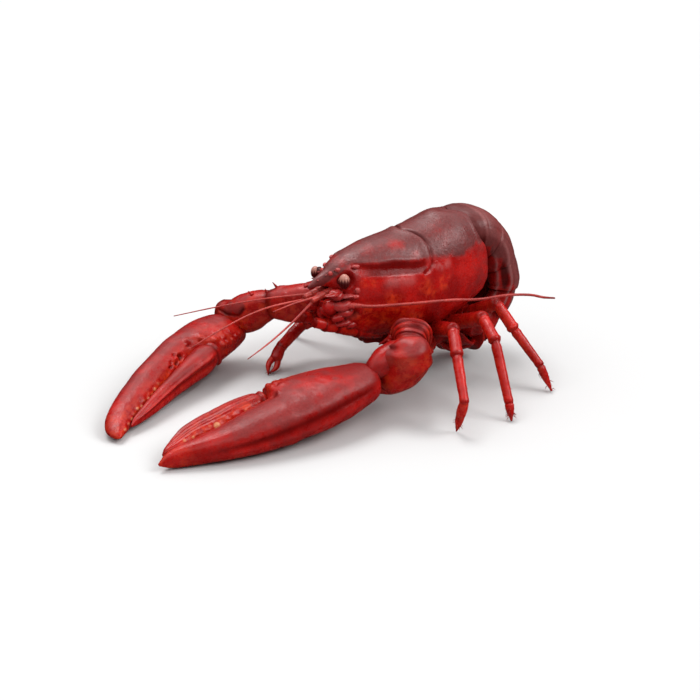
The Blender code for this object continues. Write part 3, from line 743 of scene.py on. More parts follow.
# Outlines hold share of the length, outer edge, inner edge and half thickness.
# Angles go round from the outer edge (0) over the top (90) to the inner edge (180).
clawShapes = {
    "left": {
        "base": (37.5, -107, 25.5), "tip": (26, -249.5, 5), "width": 52, "thickness": 32,
        "side": 1, "seed": 100,
        "palm": [(-0.036, 0.26, -0.08, 0.34), (-0.028, 0.44, -0.24, 0.54), (-0.010, 0.57, -0.38, 0.68),
                 (0.022, 0.67, -0.52, 0.77), (0.06, 0.74, -0.61, 0.81), (0.10, 0.80, -0.69, 0.86),
                 (0.18, 0.90, -0.80, 0.97), (0.28, 0.95, -0.94, 1.0), (0.34, 0.94, -1.01, 1.0),
                 (0.40, 0.93, -1.03, 0.98), (0.45, 0.90, -0.42, 0.91), (0.58, 0.80, -0.32, 0.78),
                 (0.70, 0.62, -0.27, 0.64), (0.80, 0.42, -0.25, 0.54), (0.90, 0.18, -0.26, 0.42),
                 (0.96, 0.04, -0.20, 0.26), (1.0, -0.05, -0.09, 0.04)],
        "finger": [(0.425, -0.50, -0.86, 0.44), (0.445, -0.42, -0.99, 0.60), (0.56, -0.38, -1.01, 0.62),
                   (0.70, -0.34, -1.02, 0.54), (0.80, -0.32, -0.93, 0.45), (0.88, -0.30, -0.70, 0.32),
                   (0.935, -0.30, -0.50, 0.20), (0.955, -0.33, -0.40, 0.05)],
        "groove": [(-0.08, 22), (0.03, 10), (0.20, 12), (0.42, 7), (0.56, 4), (0.70, 3), (0.92, 3)],
        "crestAngle": 148, "crestUntil": 0.39, "notch": (0.40, 0.47),
        "teethAngle": 168, "fingerTeethAngle": 36,
        "knuckles": [(0.402, 134, 4.6, 0.9), (0.416, 116, 3.6, 0.9), (0.422, 97, 2.6, 1.0),
                     (0.38, 120, 3.4, 0.7), (0.375, 104, 3.6, 0.7), (0.35, 122, 3.2, 0.6),
                     (0.365, 142, 3.6, 0.8), (0.40, 160, 4, 1.0)],
        "hollows": [(0.442, 112, 3.2, 1.0), (0.395, 108, 2.2, 0.8), (0.385, 128, 2.4, 0.5)],
        "teeth": [(0.525, 1.2, 0.6), (0.585, 2.0, 1.1), (0.63, 1.1, 0.5), (0.72, 2.4, 1.3),
                  (0.765, 1.1, 0.6), (0.80, 1.4, 0.7), (0.845, 1.3, 0.7), (0.862, 1.0, 0.5),
                  (0.90, 0.9, 0.4)],
        "fingerTeeth": [(0.56, 1.2, 0.3), (0.705, 2.3, 0.8), (0.735, 1.1, 0.3), (0.82, 1.0, 0.4),
                        (0.86, 1.2, 0.4)],
        "fingerEdge": 118, "flutes": 1.0, "fingerBrown": 0.25, "edgeShade": 0.45},
    "right": {
        "base": (-96, -124.5, 24.5), "tip": (-23.5, -250, 4), "width": 47, "thickness": 29,
        "side": -1, "seed": 200,
        "palm": [(0, 0.44, -0.66, 0.62), (0.04, 0.66, -0.80, 0.80), (0.10, 0.84, -0.78, 0.90),
                 (0.18, 0.96, -0.70, 0.97), (0.24, 1.0, -0.62, 1.0), (0.285, 1.02, -0.32, 1.0),
                 (0.34, 1.03, -0.08, 0.98), (0.45, 1.02, 0.0, 0.92), (0.58, 1.02, 0.04, 0.80),
                 (0.70, 0.97, 0.06, 0.66), (0.80, 0.88, 0.06, 0.54), (0.90, 0.72, 0.0, 0.40),
                 (0.96, 0.52, -0.06, 0.27), (0.99, 0.30, -0.08, 0.14), (1.0, 0.14, -0.02, 0.05)],
        "finger": [(0.245, -0.24, -0.60, 0.44), (0.26, -0.06, -0.68, 0.58), (0.33, 0.04, -0.68, 0.62),
                   (0.45, 0.04, -0.53, 0.56), (0.58, 0.03, -0.38, 0.48), (0.70, 0.04, -0.28, 0.40),
                   (0.80, 0.04, -0.20, 0.30), (0.86, 0.02, -0.14, 0.20), (0.90, -0.05, -0.08, 0.05)],
        "groove": [(0.03, 10), (0.4, 16), (0.92, 14)],
        "crestAngle": 168, "crestUntil": 0.20, "notch": (0.22, 0.30),
        "teethAngle": 162, "fingerTeethAngle": 18,
        "knuckles": [(0.312, 118, 3.4, 1.2), (0.27, 124, 3.2, 1.3), (0.235, 142, 3.4, 1.5),
                     (0.212, 166, 3.6, 1.7), (0.205, 190, 3.4, 1.5), (0.235, 212, 3.6, 1.5),
                     (0.262, 222, 3.0, 1.2), (0.18, 150, 2.6, 0.6), (0.20, 128, 2.8, 0.6),
                     (0.255, 108, 2.6, 0.5)],
        "hollows": [(0.405, 146, 3.0, 1.9), (0.425, 128, 2.1, 1.1), (0.445, 152, 2.6, 1.7),
                    (0.47, 138, 1.8, 1.0), (0.49, 150, 2.2, 1.3), (0.33, 132, 2.3, 1.1),
                    (0.31, 98, 1.5, 0.5), (0.52, 155, 1.6, 0.7)],
        "teeth": [(0.56, 1.0, 0.4), (0.60, 1.2, 0.5), (0.635, 1.3, 0.6), (0.665, 1.0, 0.5),
                  (0.70, 1.2, 0.6), (0.73, 1.1, 0.5), (0.76, 1.2, 0.6), (0.79, 1.1, 0.5), (0.825, 1.3, 0.7),
                  (0.855, 1.1, 0.6), (0.89, 1.2, 0.6), (0.93, 1.0, 0.5)],
        "fingerTeeth": [(0.60, 0.9, 0.3), (0.70, 1.1, 0.5), (0.745, 0.9, 0.4), (0.80, 1.1, 0.5),
                        (0.85, 0.9, 0.4)],
        "fingerEdge": 156, "flutes": 0.0, "fingerBrown": 1.0, "edgeShade": 0.0},
}
clawDetail = {"grooveDepth": 1.0, "grooveSpread": 10.5, "ridgeHeight": 0.5, "ridgeBelow": 20.0, "swell": 0.35,
              "grain": 0.06, "crestHeight": 0.5, "bumpHeight": 0.8, "roughness": 0.35}


def toothDomes(grid, claw, teeth, outline, angle, shift, last):
    # worn teeth along a gripping edge, and how pale each point of them is
    tall, creamAndHighlight = 0 * grid[..., 0], 0 * grid[..., 0]
    rng = np.random.default_rng(claw["seed"] + 3)
    for place, size, height in teeth:
        turn = angle + rng.uniform(-9, 9)
        spot = clawSurface(claw, outline, min(place + shift, last), np.radians(turn), 0.92)
        dome = nearSpot(grid, spot, size * 1.7)
        tall = np.maximum(tall, height * dome)
        creamAndHighlight = np.maximum(creamAndHighlight, ease(dome, 0.35, 0.8) * rng.uniform(0.1, 1.0))
    return tall, creamAndHighlight


def palmPart(claw, detail):
    def onPalm(place, turn):
        return clawSurface(claw, claw["palm"], place, np.radians(turn), 0.92)

    notchStart, notchEnd = claw["notch"]
    first = claw["palm"][0][0]
    share = np.r_[np.linspace(first, 0.05, 20, endpoint=False),
                  np.linspace(0.05, notchStart, 64, endpoint=False),
                  np.linspace(notchStart, notchEnd, 32, endpoint=False),
                  np.linspace(notchEnd, 1.0, 104)][:, None]
    angle = np.linspace(0, 2 * np.pi, 204, endpoint=False)[None, :]
    grid = clawSurface(claw, claw["palm"], share, angle, 0.92)
    degrees = np.degrees((angle + np.pi) % (2 * np.pi) - np.pi)
    line = np.interp(share, *np.array(claw["groove"]).T)
    window = ease(share, first + 0.01, 0.08) * (1 - ease(share, 0.62, 0.88))
    spread = detail["grooveSpread"]
    groove = bell(degrees - line, spread) * window
    ridge = bell(degrees - line + detail["ridgeBelow"], spread) * window
    around = np.abs(degrees + 0 * share)
    crestEnd = claw["crestUntil"]
    crest = bell(degrees % 360 - claw["crestAngle"], 10) * (1 - ease(share, crestEnd - 0.04, crestEnd + 0.04))
    crest = crest * ease(share, 0.02, 0.1)
    beads = 0 * groove
    for k in range(9):
        spot = onPalm(0.05 + (crestEnd - 0.05) * k / 9, claw["crestAngle"] + 8 * (k % 2))
        beads = np.maximum(beads, nearSpot(grid, spot, 2.2 + 0.5 * (k % 3)))
    bumps, hollows = 0 * groove, 0 * groove
    for place, turn, size, tall in claw["knuckles"]:
        spot = onPalm(place, turn)
        bumps = bumps + tall * nearSpot(grid, spot, size)
    wobble = np.stack([softNoise(grid, 1.7, claw["seed"] + k) for k in (30, 31, 32)], axis=-1) * 0.9
    for place, turn, size, deep in claw["hollows"]:
        spot = onPalm(place, turn)
        hollows = np.maximum(hollows, deep * nearSpot(grid + wobble, spot, size * 1.25))
    teeth, creamAndHighlight = toothDomes(grid, claw, claw["teeth"], claw["palm"], claw["teethAngle"], 0.012, 0.97)
    seed = claw["seed"]
    nearHinge = nearSpot(grid, onPalm(notchStart - 0.03, 125), 17)
    gripping = bell(degrees % 360 - claw["teethAngle"], 16) * ease(share, notchEnd, notchEnd + 0.1)
    height = (detail["swell"] * softNoise(grid, 17, seed) + 0.12 * softNoise(grid, 5, seed + 1)
              - detail["grooveDepth"] * groove + detail["ridgeHeight"] * ridge
              + detail["crestHeight"] * crest + detail["bumpHeight"] * beads + bumps - hollows + teeth
              + detail["roughness"] * softNoise(grid, 2.4, seed + 2) * (nearHinge + gripping)
              - 0.10 * pebbles(grid, 4.2, seed + 5) ** 2 + detail["grain"] * pebbles(grid, 1.4, seed + 6))
    grid = raised(grid, height)
    grid[..., 2] = np.maximum(grid[..., 2], 0.0)
    top = ease(np.sin(angle), 0.05, 0.6)
    mottled = 0.62 + 0.4 * softNoise(grid, 13, seed + 8) + 0.25 * softNoise(grid, 4, seed + 9)
    towardsOuter = ease(np.cos(angle), -0.95, -0.1)
    brown = top * np.clip(mottled, 0, 1.1) * (0.25 + 0.75 * towardsOuter) * (1 - ease(share, 0.62, 0.95))
    brown = brown * (1 - 0.6 * nearHinge) + 0.5 * ridge * mottled
    orange = (0.5 * ease(share, 0.8, 1.0) + 0.3 * ease(-np.sin(angle), 0.2, 0.8) + 0.5 * gripping
              + 0.3 * nearHinge + 0.25 * (around > 110))
    # painted shade in the long groove and the pits; the base end darkened as a joint
    shade = np.clip(0.72 * groove + 0.75 * ease(hollows, 0.3, 1.6)
                    + 0.35 * (1 - ease(share, first, first + 0.03)), 0, 1)
    return gridPart(grid, {"brown": np.clip(brown, 0, 1), "orange": np.clip(orange, 0, 1), "shade": shade,
                           "creamAndHighlight": 0.8 * creamAndHighlight})


def fingerPart(claw):
    outline = claw["finger"]
    first, last = outline[0][0], outline[-1][0]
    share = np.r_[np.linspace(first, first + 0.04, 20, endpoint=False),
                  np.linspace(first + 0.04, last - 0.05, 104, endpoint=False),
                  np.linspace(last - 0.05, last, 22)][:, None]
    angle = np.linspace(0, 2 * np.pi, 136, endpoint=False)[None, :]
    grid = clawSurface(claw, outline, share, angle, 0.9)
    seed = claw["seed"] + 50
    degrees = np.degrees(angle)
    along = ease(share, first + 0.02, first + 0.10) * (1 - ease(share, last - 0.12, last - 0.02))
    edge = bell(degrees - claw["fingerEdge"], 9) * along
    under = bell(degrees - claw["fingerEdge"] - 17, 9) * along
    drift = 9 * softNoise(grid, 22, seed + 3)
    flutes = sum(tall * bell(degrees - place - drift, 6) for place, tall in (
        (58, 0.7), (80, 1.0), (98, 0.6))) * along * claw["flutes"]
    heel = bell(share - first - 0.012, 0.010)
    heelDip = bell(share - first - 0.032, 0.010)
    teeth, creamAndHighlight = toothDomes(grid, claw, claw["fingerTeeth"], outline, claw["fingerTeethAngle"], -0.01,
                              last - 0.03)
    gripping = bell(degrees - claw["fingerTeethAngle"], 20) * along
    height = (0.25 * softNoise(grid, 12, seed) + 0.12 * softNoise(grid, 4, seed + 1) + 0.8 * edge
              - 0.6 * under - 0.38 * flutes + 0.35 * heel - 0.45 * heelDip + teeth
              + 0.3 * softNoise(grid, 2.4, seed + 2) * gripping + 0.05 * pebbles(grid, 1.4, seed + 6))
    grid = raised(grid, height)
    grid[..., 2] = np.maximum(grid[..., 2], 0.3)
    top = ease(np.sin(angle), 0.3, 0.8)
    brown = top * (0.45 + 0.35 * softNoise(grid, 9, seed + 8)) * (1 - ease(share, last - 0.3, last - 0.05))
    brown = claw["fingerBrown"] * brown
    streaks = ease(softNoise(grid * np.array([1, 0.25, 1]), 2.0, seed + 9), 0.0, 0.7)
    orange = np.clip(0.3 * claw["flutes"] + 0.4 * gripping + 0.35 * streaks * along, 0, 1)
    # painted shade in the crease under the edge, in the flutes and in the dip behind the heel; edgeShade lays
    # painted shade over the edge ridge to hold down its highlight
    shade = np.clip(0.5 * under + 0.32 * flutes + 0.5 * heelDip + claw["edgeShade"] * edge, 0, 1)
    return gridPart(grid, {"brown": brown, "orange": orange, "shade": shade, "creamAndHighlight": 0.9 * creamAndHighlight})


for label, claw in clawShapes.items():
    buildPiece(f"clawPalm.{label}", [palmPart(claw, clawDetail)], clawCrust, "claw", f"claw_palm_{label}")
    buildPiece(f"clawFinger.{label}", [fingerPart(claw)], clawCrust, "claw", f"claw_finger_{label}")
print("claws shaped")


def segmentPart(start, end, firstSize, lastSize, seed, belly=0.06, flare=0.12, dark=0.0, rings=26, sides=22):
    # one stiff link of a leg: a little full in the middle, flared at its far end
    start, end = np.array(start, float), np.array(end, float)
    rows = []
    for t in (0, 0.33, 0.67, 1):
        half = firstSize + (lastSize - firstSize) * t
        rows.append((*(start + (end - start) * t), half, half))
    grid, share, angles = tubeGrid(rows, rings, sides, blunt=0.5)
    size = firstSize + (lastSize - firstSize) * share
    swell = belly * np.sin(np.pi * np.clip(share, 0, 1)) + flare * bell(share - 0.95, 0.05)
    swell = swell - 0.16 * bell(share, 0.06) + 0.08 * bell(share - 0.12, 0.04)
    height = size * swell + 0.05 * size * softNoise(grid, 3.0, seed) + 0.05 * pebbles(grid, 1.2, seed + 1)
    grid = raised(grid, height)
    grid[..., 2] = np.maximum(grid[..., 2], 0.05)
    ends = bell(share, 0.06) + bell(share - 1.0, 0.035)
    # the ends darkened as joints; dark adds painted shade towards the link's start, for links that sit under
    # the body
    shade = np.clip(0.35 * ends + dark * (1 - 0.6 * share), 0, 1) + 0 * height
    top = ease(np.sin(angles), 0.2, 0.9) + 0 * height
    return gridPart(grid, {"shade": shade, "brown": 0.05 * top, "orange": 0.4 * (1 - top)})


def bristleParts(start, end, size, count, seed, length=2.4, thick=0.28):
    # stiff hairs leaning towards the leg's tip
    rng = np.random.default_rng(seed)
    start, end = np.array(start, float), np.array(end, float)
    way = (end - start) / np.linalg.norm(end - start)
    side = np.cross(way, (0.3, 0.9, 0.2))
    side /= np.linalg.norm(side)
    other = np.cross(way, side)
    parts = []
    for k in range(count):
        t, turn = rng.uniform(0.05, 0.95), rng.uniform(0, 2 * np.pi)
        out = side * np.cos(turn) + other * np.sin(turn)
        root = start + (end - start) * t + out * size * 0.8
        tip = root + (out * 0.75 + way * 0.75) * length * rng.uniform(0.7, 1.15)
        tip[2] = max(tip[2], 0.4)
        parts.append(spikePart(root, tip, thick, {"shade": 0.35}, sides=6))
    return parts


# hip, knee, wrist, ankle and foot of each leg, from the front pair back
legJoints = {
    "left": [((13, -37, 33), (29, -47, 30), (29, -56, 21), (24, -63, 10), (20, -68, 0)),
             ((14, -29, 34), (64, -58, 55), (78, -67, 45), (99, -79, 24), (90, -77, 0)),
             ((14, -18, 34), (58, -27, 54), (75, -32, 45), (96, -38, 11), (101, -40, 0)),
             ((14, -6, 36), (42, 0, 53), (55, 4, 38), (75, 10, 17), (84, 13, 0))],
    "right": [((-13, -40, 33), (-48, -60, 35), (-62, -82, 27), (-59, -103.5, 15), (-52.5, -118.5, 0)),
              ((-14, -30, 34), (-56, -48, 54), (-72, -54, 44), (-92, -62, 14), (-98, -64, 0)),
              ((-14, -18, 34), (-57, -26, 55), (-73, -29, 45), (-92, -33, 12), (-98, -34, 0)),
              ((-14, -6, 36), (-42, 0, 53), (-55, 4, 38), (-74, 10, 16), (-83, 13, 0))],
}
legShape = {"hip": 5.6, "upper": (5.0, 4.4), "wrist": (3.5, 3.7), "shin": (3.2, 2.7), "foot": (2.6, 0.6),
            "bristles": 26, "pincerSpread": 2.6}


def pincerParts(ankle, foot, size, spread, seed):
    # the small nippers on the front two pairs: a palm, a fixed finger and a moving one
    ankle, foot = np.array(ankle, float), np.array(foot, float)
    run = foot - ankle
    way = run / np.linalg.norm(run)
    side = np.cross(way, (0.2, 0.4, 0.9))
    side /= np.linalg.norm(side)
    middle = ankle + run * 0.42
    parts = [segmentPart(ankle, middle, size, size * 1.15, seed, belly=0.15, flare=0.02)]
    for turn, share in ((1, 1.0), (-1, 0.93)):
        tip = ankle + run * share + side * turn * 0.25
        bulge = middle + (tip - middle) * 0.5 + side * turn * spread
        tip[2] = max(tip[2], 0.4)
        rows = [(*(middle - way + side * turn * size * 0.45), size * 0.7, size * 0.7),
                (*bulge, size * 0.55, size * 0.55), (*tip, 0.5, 0.5)]
        grid, along, angles = tubeGrid(rows, 22, 18)
        parts.append(gridPart(grid, {"shade": 0.6 * ease(along, 0.75, 1.0) + 0 * angles, "orange": 0.4}))
    return parts


def legParts(joints, shape, number, seed):
    hip, knee, wrist, ankle, foot = (np.array(spot, float) for spot in joints)
    toKnee = (knee - hip) / np.linalg.norm(knee - hip)
    root = hip + toKnee * 6.5
    stub, (thigh, kneeSize) = shape["hip"], shape["upper"]
    # the links by the body carry painted shade from under the shell
    upper = [segmentPart(hip - toKnee * 2 + (0, 0, 1.0), root, stub, stub * 0.86, seed, belly=0.1, dark=0.6),
             segmentPart(root - toKnee, root + toKnee * 5, stub * 0.8, thigh, seed + 1, flare=0.06, dark=0.6),
             segmentPart(root + toKnee * 4, knee, thigh, kneeSize, seed + 2, dark=0.45)]
    stout = 1.3 if number == 1 else 1.0
    wristSizes, shinSizes = ([stout * size for size in shape[key]] for key in ("wrist", "shin"))
    lower = [segmentPart(knee, wrist, *wristSizes, seed + 3, flare=0.16, rings=24),
             segmentPart(wrist, ankle, *shinSizes, seed + 4)]
    toFoot = (foot - ankle) / np.linalg.norm(foot - ankle)
    end = foot - toFoot * 0.5 + np.array([0, 0, 0.5])
    if number <= 2:
        spread = shape["pincerSpread"] if number == 1 else 0.9
        tip = pincerParts(ankle, end, shape["foot"][0] * stout, spread, seed + 5)
        count = shape["bristles"] // 2
    else:
        tip = [segmentPart(ankle, end, *shape["foot"], seed + 5, belly=0.45, flare=0.0)]
        count = shape["bristles"]
    tip += bristleParts(ankle, end, shape["foot"][0] * 0.9, count, seed + 6)
    low = ankle + (wrist - ankle) * 0.45
    lower += bristleParts(low, ankle, shape["shin"][1], count // 2, seed + 7, length=1.7)
    return upper, lower, tip


for label, legs in legJoints.items():
    for number, joints in enumerate(legs, start=1):
        seed = 300 + 40 * number + (7 if label == "right" else 0)
        upper, lower, foot = legParts(joints, legShape, number, seed)
        buildPiece(f"upperLeg.{label}.{number}", upper, legCrust, "leg", f"upper_leg_{label}_{number}")
        buildPiece(f"lowerLeg.{label}.{number}", lower, legCrust, "leg", f"lower_leg_{label}_{number}")
        buildPiece(f"foot.{label}.{number}", foot, legCrust, "leg", f"foot_{label}_{number}")
print("legs shaped")


def armPart(link, seed, rings=88, sides=104):
    # one link of a claw arm: folds at its joint, bumps, creases and patches of colour
    grid, share, angles = tubeGrid(link["rows"], rings, sides, square=link.get("square", 0.9), blunt=0.5)
    height = (0.40 * softNoise(grid, 11, seed) + 0.14 * softNoise(grid, 4, seed + 1)
              + 0.05 * pebbles(grid, 1.5, seed + 2) - 0.08 * pebbles(grid, 4.4, seed + 3) ** 2)
    shade = link.get("shadeEnds", 0.5) * (bell(share, 0.05) + bell(share - 1, 0.05))
    shade = shade + 0 * height
    # painted shade behind each fold, in the dents and along the creases
    for place, width, tall in link.get("folds", ()):
        behind = bell(share - place - 2.1 * width, width)
        height = height + tall * bell(share - place, width) - 0.8 * tall * behind
        shade = np.maximum(shade, 0.7 * behind)
    for spot, size, tall in link.get("bumps", ()):
        height = height + tall * nearSpot(grid, spot, size)
        shade = np.maximum(shade, 0.7 * nearSpot(grid, spot, size) * (tall < 0))
    for path, width, deep in link.get("creases", ()):
        line = nearLine(grid, path, width)
        height = height - deep * line
        shade = np.maximum(shade, min(0.75, 0.75 * deep) * line)
    grid = raised(grid, height)
    grid[..., 2] = np.maximum(grid[..., 2], 0.0)
    top = ease(np.sin(angles), 0.1, 0.8)
    mottled = np.clip(0.5 + 0.6 * softNoise(grid, 7, seed + 4) + 0.3 * softNoise(grid, 3, seed + 5), 0, 1)
    paint = {"brown": link["browning"] * top * mottled, "orange": 0.5 * (1 - top) + 0.3 * top * (1 - mottled),
             "shade": shade, "creamAndHighlight": 0 * shade}
    for key, spot, size, amount in link.get("patches", ()):
        ragged = nearSpot(grid + 1.2 * softNoise(grid, 2.5, seed + 6)[..., None], spot, size)
        paint[key] = np.maximum(paint[key], amount * ease(ragged, 0.1, 0.55))
    return gridPart(grid, {key: np.clip(values, 0, 1) for key, values in paint.items()})


def armSpines(rows, paint):
    return [spikePart(base, tip, size, paint) for base, tip, size in rows]


armShapes = {
    "left": {
        "shoulder": {"rows": [(13, -50, 33, 6, 5), (20, -55, 36, 7, 6), (27, -60, 38.5, 7.5, 7)],
                     "folds": [(0.45, 0.05, 0.6)], "browning": 0.2},
        # the joint's folds sit one inside the other and lean over towards the wrist
        "upperArm": {"rows": [(26, -59.5, 39.5, 7.2, 8), (35, -67, 44.5, 10.5, 10),
                              (42.5, -74, 48, 12.6, 10.6), (45, -76.6, 47.8, 10.6, 10),
                              (47.5, -79.2, 46.2, 9.4, 8.9)],
                     "folds": [(0.74, 0.015, 1.0), (0.85, 0.014, 0.9), (0.94, 0.012, 0.6)],
                     "bumps": [((33.8, -75.8, 56.8), 7, 1.6), ((48.4, -74.1, 57.5), 7, -0.8)],
                     "browning": 0.7, "shadeEnds": 0.3},
        "wrist": {"rows": [(48, -79, 45.5, 8.8, 8.7), (52.5, -83, 42, 13.8, 13),
                           (47.9, -85.5, 33.0, 14.3, 14.2), (37.4, -87.6, 24.0, 12.8, 12.6),
                           (30.5, -91.0, 19.8, 10.0, 10.0)],
                  "folds": [(0.01, 0.018, 0.6)],
                  "bumps": [((54.6, -102.6, 32.8), 4.4, 1.5), ((55.2, -102.8, 28.6), 2.6, -0.9),
                            ((52.4, -93.2, 47.8), 2.2, -0.8), ((60, -87.5, 47.6), 2.4, -0.7),
                            ((47.0, -98, 40.5), 7, 1.6), ((66, -96, 30), 6, 0.6)],
                  "creases": [([(63.6, -82, 46), (66, -85.8, 38.8), (65, -89.6, 31.3)], 2.2, 0.35)],
                  "patches": [("creamAndHighlight", (61, -94, 41), 8, 0.05), ("creamAndHighlight", (48.5, -104, 36), 6, 0.05),
                              ("brown", (50, -99, 43), 11, 0.5)],
                  "browning": 0.95, "shadeEnds": 0.35, "square": 0.74},
        "knobs": {"wrist": [((44.2, -94.6, 37.8), (9.0, 17.5, 9.4), (-0.06, -1, -0.44))]},
        "spines": {"wrist": [((34, -83.5, 46.5), (30.5, -90.3, 42.5), 2.0),
                             ((36.5, -86.5, 46), (35.5, -89.5, 39), 1.6)]},
        "seed": 700},
    "right": {
        "shoulder": {"rows": [(-13, -57, 32, 6, 5), (-21, -64, 36, 7, 6), (-30, -73, 41, 7.5, 8)],
                     "folds": [(0.45, 0.05, 0.6)], "browning": 0.2},
        "upperArm": {"rows": [(-29, -72, 42, 7.5, 10.5), (-43, -87, 47.8, 9.5, 13.4),
                              (-56, -97.5, 46.4, 10, 12.2), (-65.5, -104.5, 45, 9.3, 9.6)],
                     "bumps": [((-55.7, -109.2, 43.9), 4, 1.4), ((-63, -100, 55.5), 6, 1.2),
                               ((-46, -90, 59), 5, 1.0)],
                     "creases": [([(-52, -104, 54.7), (-45.3, -100.8, 52.5)], 1.6, -0.5)],
                     "patches": [("orange", (-55.7, -109.2, 43.9), 4.5, 1.0)],
                     "browning": 0.5, "shadeEnds": 0.6, "square": 0.72},
        "wrist": {"rows": [(-65.5, -104.5, 45, 8.6, 9.4), (-74, -110, 41, 11, 12.0),
                           (-82, -115, 35.6, 12, 13.3), (-91, -119.5, 33.2, 11, 11.3),
                           (-100, -123.5, 35, 7.5, 7)],
                  "bumps": [((-73.2, -123, 32.2), 2.8, 1.0), ((-75.2, -124.9, 34.7), 2.5, 0.9),
                            ((-72.3, -120.5, 29), 2.8, 1.0), ((-77.4, -125.2, 30), 2.6, 0.9),
                            ((-78, -121, 26), 2.6, 0.8), ((-69, -119.5, 33.5), 2.4, 0.7)],
                  "creases": [([(-93.8, -129, 37.7), (-85, -129, 37), (-76.4, -125.6, 37.9),
                                (-73.7, -123.3, 42.6)],
                               1.3, 1.3)],
                  "patches": [("brown", (-78, -125.3, 42.8), 7, 1.0), ("brown", (-86, -128, 40.6), 7, 1.0),
                              ("orange", (-74.5, -123.5, 31), 8, 0.8)],
                  "browning": 0.55, "shadeEnds": 0.6, "square": 0.85},
        "spines": {"upperArm": [((-62.8, -100.8, 54.4), (-66.8, -103.4, 59.6), 1.5),
                                ((-47, -91.5, 58.5), (-48.5, -93, 61.5), 1.3)],
                   "wrist": [((-74, -115.5, 51.5), (-76.5, -117, 53.6), 1.2),
                             ((-67.5, -107.5, 52.8), (-68.3, -108.8, 55.8), 1.2)]},
        "seed": 760},
}
for label, arm in armShapes.items():
    for number, key in enumerate(("shoulder", "upperArm", "wrist")):
        parts = [armPart(arm[key], arm["seed"] + 10 * number)]
        parts += armSpines(arm["spines"].get(key, ()), {"shade": 0.25})
        for spot, sizes, lean in arm.get("knobs", {}).get(key, ()):
            parts.append(lump(spot, sizes, arm["seed"] + 5, {"brown": 0.4}, lean=lean, rings=30, sides=36))
        node = f"upper_arm_{label}" if key == "upperArm" else f"{key}_{label}"
        buildPiece(f"{key}.{label}", parts, clawCrust, "claw", node)
print("arms shaped")


eyeShape = {
    "place": (14.2, -105.2, 83.4), "sizes": (3.6, 3.6, 4.9),
    "stalk": [(7, -103.5, 82, 2.6, 2.6), (10, -104.5, 82.4, 2.5, 2.6), (13, -105, 82.9, 2.9, 3.0)],
    # how big each eye is, and how far it has sunk
    "left": (1.0, 0.0), "right": (0.82, 1.4),
}


def eyeParts(shape, label, seed):
    # a pale cap above, dark and streaked below, on a short stalk
    size, drop = shape[label]
    x, y, z = shape["place"]
    place = (x, y - drop, z - drop)
    sizes = [half * size for half in shape["sizes"]]
    cap = lump(place, sizes, seed, rough=0.03, rings=36, sides=48, lean=(0.2, 1, 0))
    points = (cap["points"] - np.array(place)) / size
    around = np.arctan2(points[:, 0], -points[:, 1])
    streak = 0.5 + 0.5 * np.sin(around * 11)
    cap["paint"]["creamAndHighlight"] = ease(points[:, 2] + 1.8 * streak, 1.6, 3.0)
    cap["paint"]["shade"] = ease(-points[:, 2], -1.2, 1.2) * (1 - 0.45 * streak)
    stalk = tubeGrid(shape["stalk"], 20, 24)[0]
    return [cap, gridPart(stalk, {"shade": 0.5})]


antennaShape = {
    # place, half sizes, how pale
    "plates": [((9.5, -112.5, 67.0), (5.2, 5.4, 5.8), 0.0), ((14.4, -107.0, 67.6), (4.0, 6.2, 3.3), 0.16),
               ((15.0, -104.8, 63.0), (3.9, 5.2, 3.0), 0.12), ((12.6, -109.5, 60.0), (3.6, 4.4, 3.0), 0.04),
               ((13.8, -103.4, 73.2), (3.0, 5.6, 1.3), 0.22), ((12.5, -104.5, 66.5), (4.4, 4.6, 5.0), 0.0),
               ((18.6, -102.6, 68.0), (2.0, 3.6, 1.9), 0.10), ((13.0, -99.2, 52.4), (2.4, 4.2, 2.3), 0.06),
               ((11.0, -104.2, 54.6), (3.8, 6.2, 2.6), 0.10), ((11.5, -109.6, 74.6), (4.4, 4.4, 3.4), 0.10)],
    "thorns": [((9, -116.5, 71), (9.5, -120.5, 72.5), 0.8)],
    "scale": [(10.5, -106, 76.2, 2.4, 1.3), (12.2, -110, 76.0, 3.4, 1.2), (12.4, -113.5, 75.6, 3.2, 1.0),
              (11, -117.5, 75.2, 0.7, 0.5)],
}


def antennaBaseParts(shape, seed):
    # the stacked links at the root of the long feeler
    parts = []
    for k, (spot, sizes, creamAndHighlight) in enumerate(shape["plates"]):
        paint = {"creamAndHighlight": creamAndHighlight, "brown": 1.2 * creamAndHighlight}
        plate = lump(spot, sizes, seed + 2 * k, paint, lean=(0.35, 1, 0.05), rough=0.26)
        # painted shade on each plate's underside
        below = spot[2] - plate["points"][:, 2]
        plate["paint"]["shade"] = 0.75 * ease(below, 0.1 * sizes[2], 0.95 * sizes[2])
        parts.append(plate)
    return parts + armSpines(shape["thorns"], {"orange": 0.3})


def antennaScaleParts(shape):
    grid, share, angles = tubeGrid(shape["scale"], 40, 44, square=0.9)
    keel = bell(np.degrees(angles) - 60, 14)
    grid = raised(grid, 0.5 * keel + 0.12 * softNoise(grid, 2.5, 41))
    return [gridPart(grid, {"shade": 0.25 * (1 - keel) + 0 * share, "orange": 0.2})]


# a broad toothed link behind, slimmer links bent forward and up:
# start, end, half width at each, half height
jawLegShape = {
    "links": [((8, -72, 40.5), (8.2, -93, 46.0), 5.6, 5.8, 4.6),
              ((8.2, -91, 46.0), (7.8, -107, 52.2), 5.4, 4.8, 4.6),
              ((7.8, -106, 52.4), (7.2, -116, 54.6), 4.4, 3.9, 4.2),
              ((7.2, -115, 54.8), (6.2, -122.5, 57.5), 3.5, 2.6, 3.2)],
    "bristles": ((4.5, -76, 41), (3.5, -118, 58)), "bristleCount": 40,
}


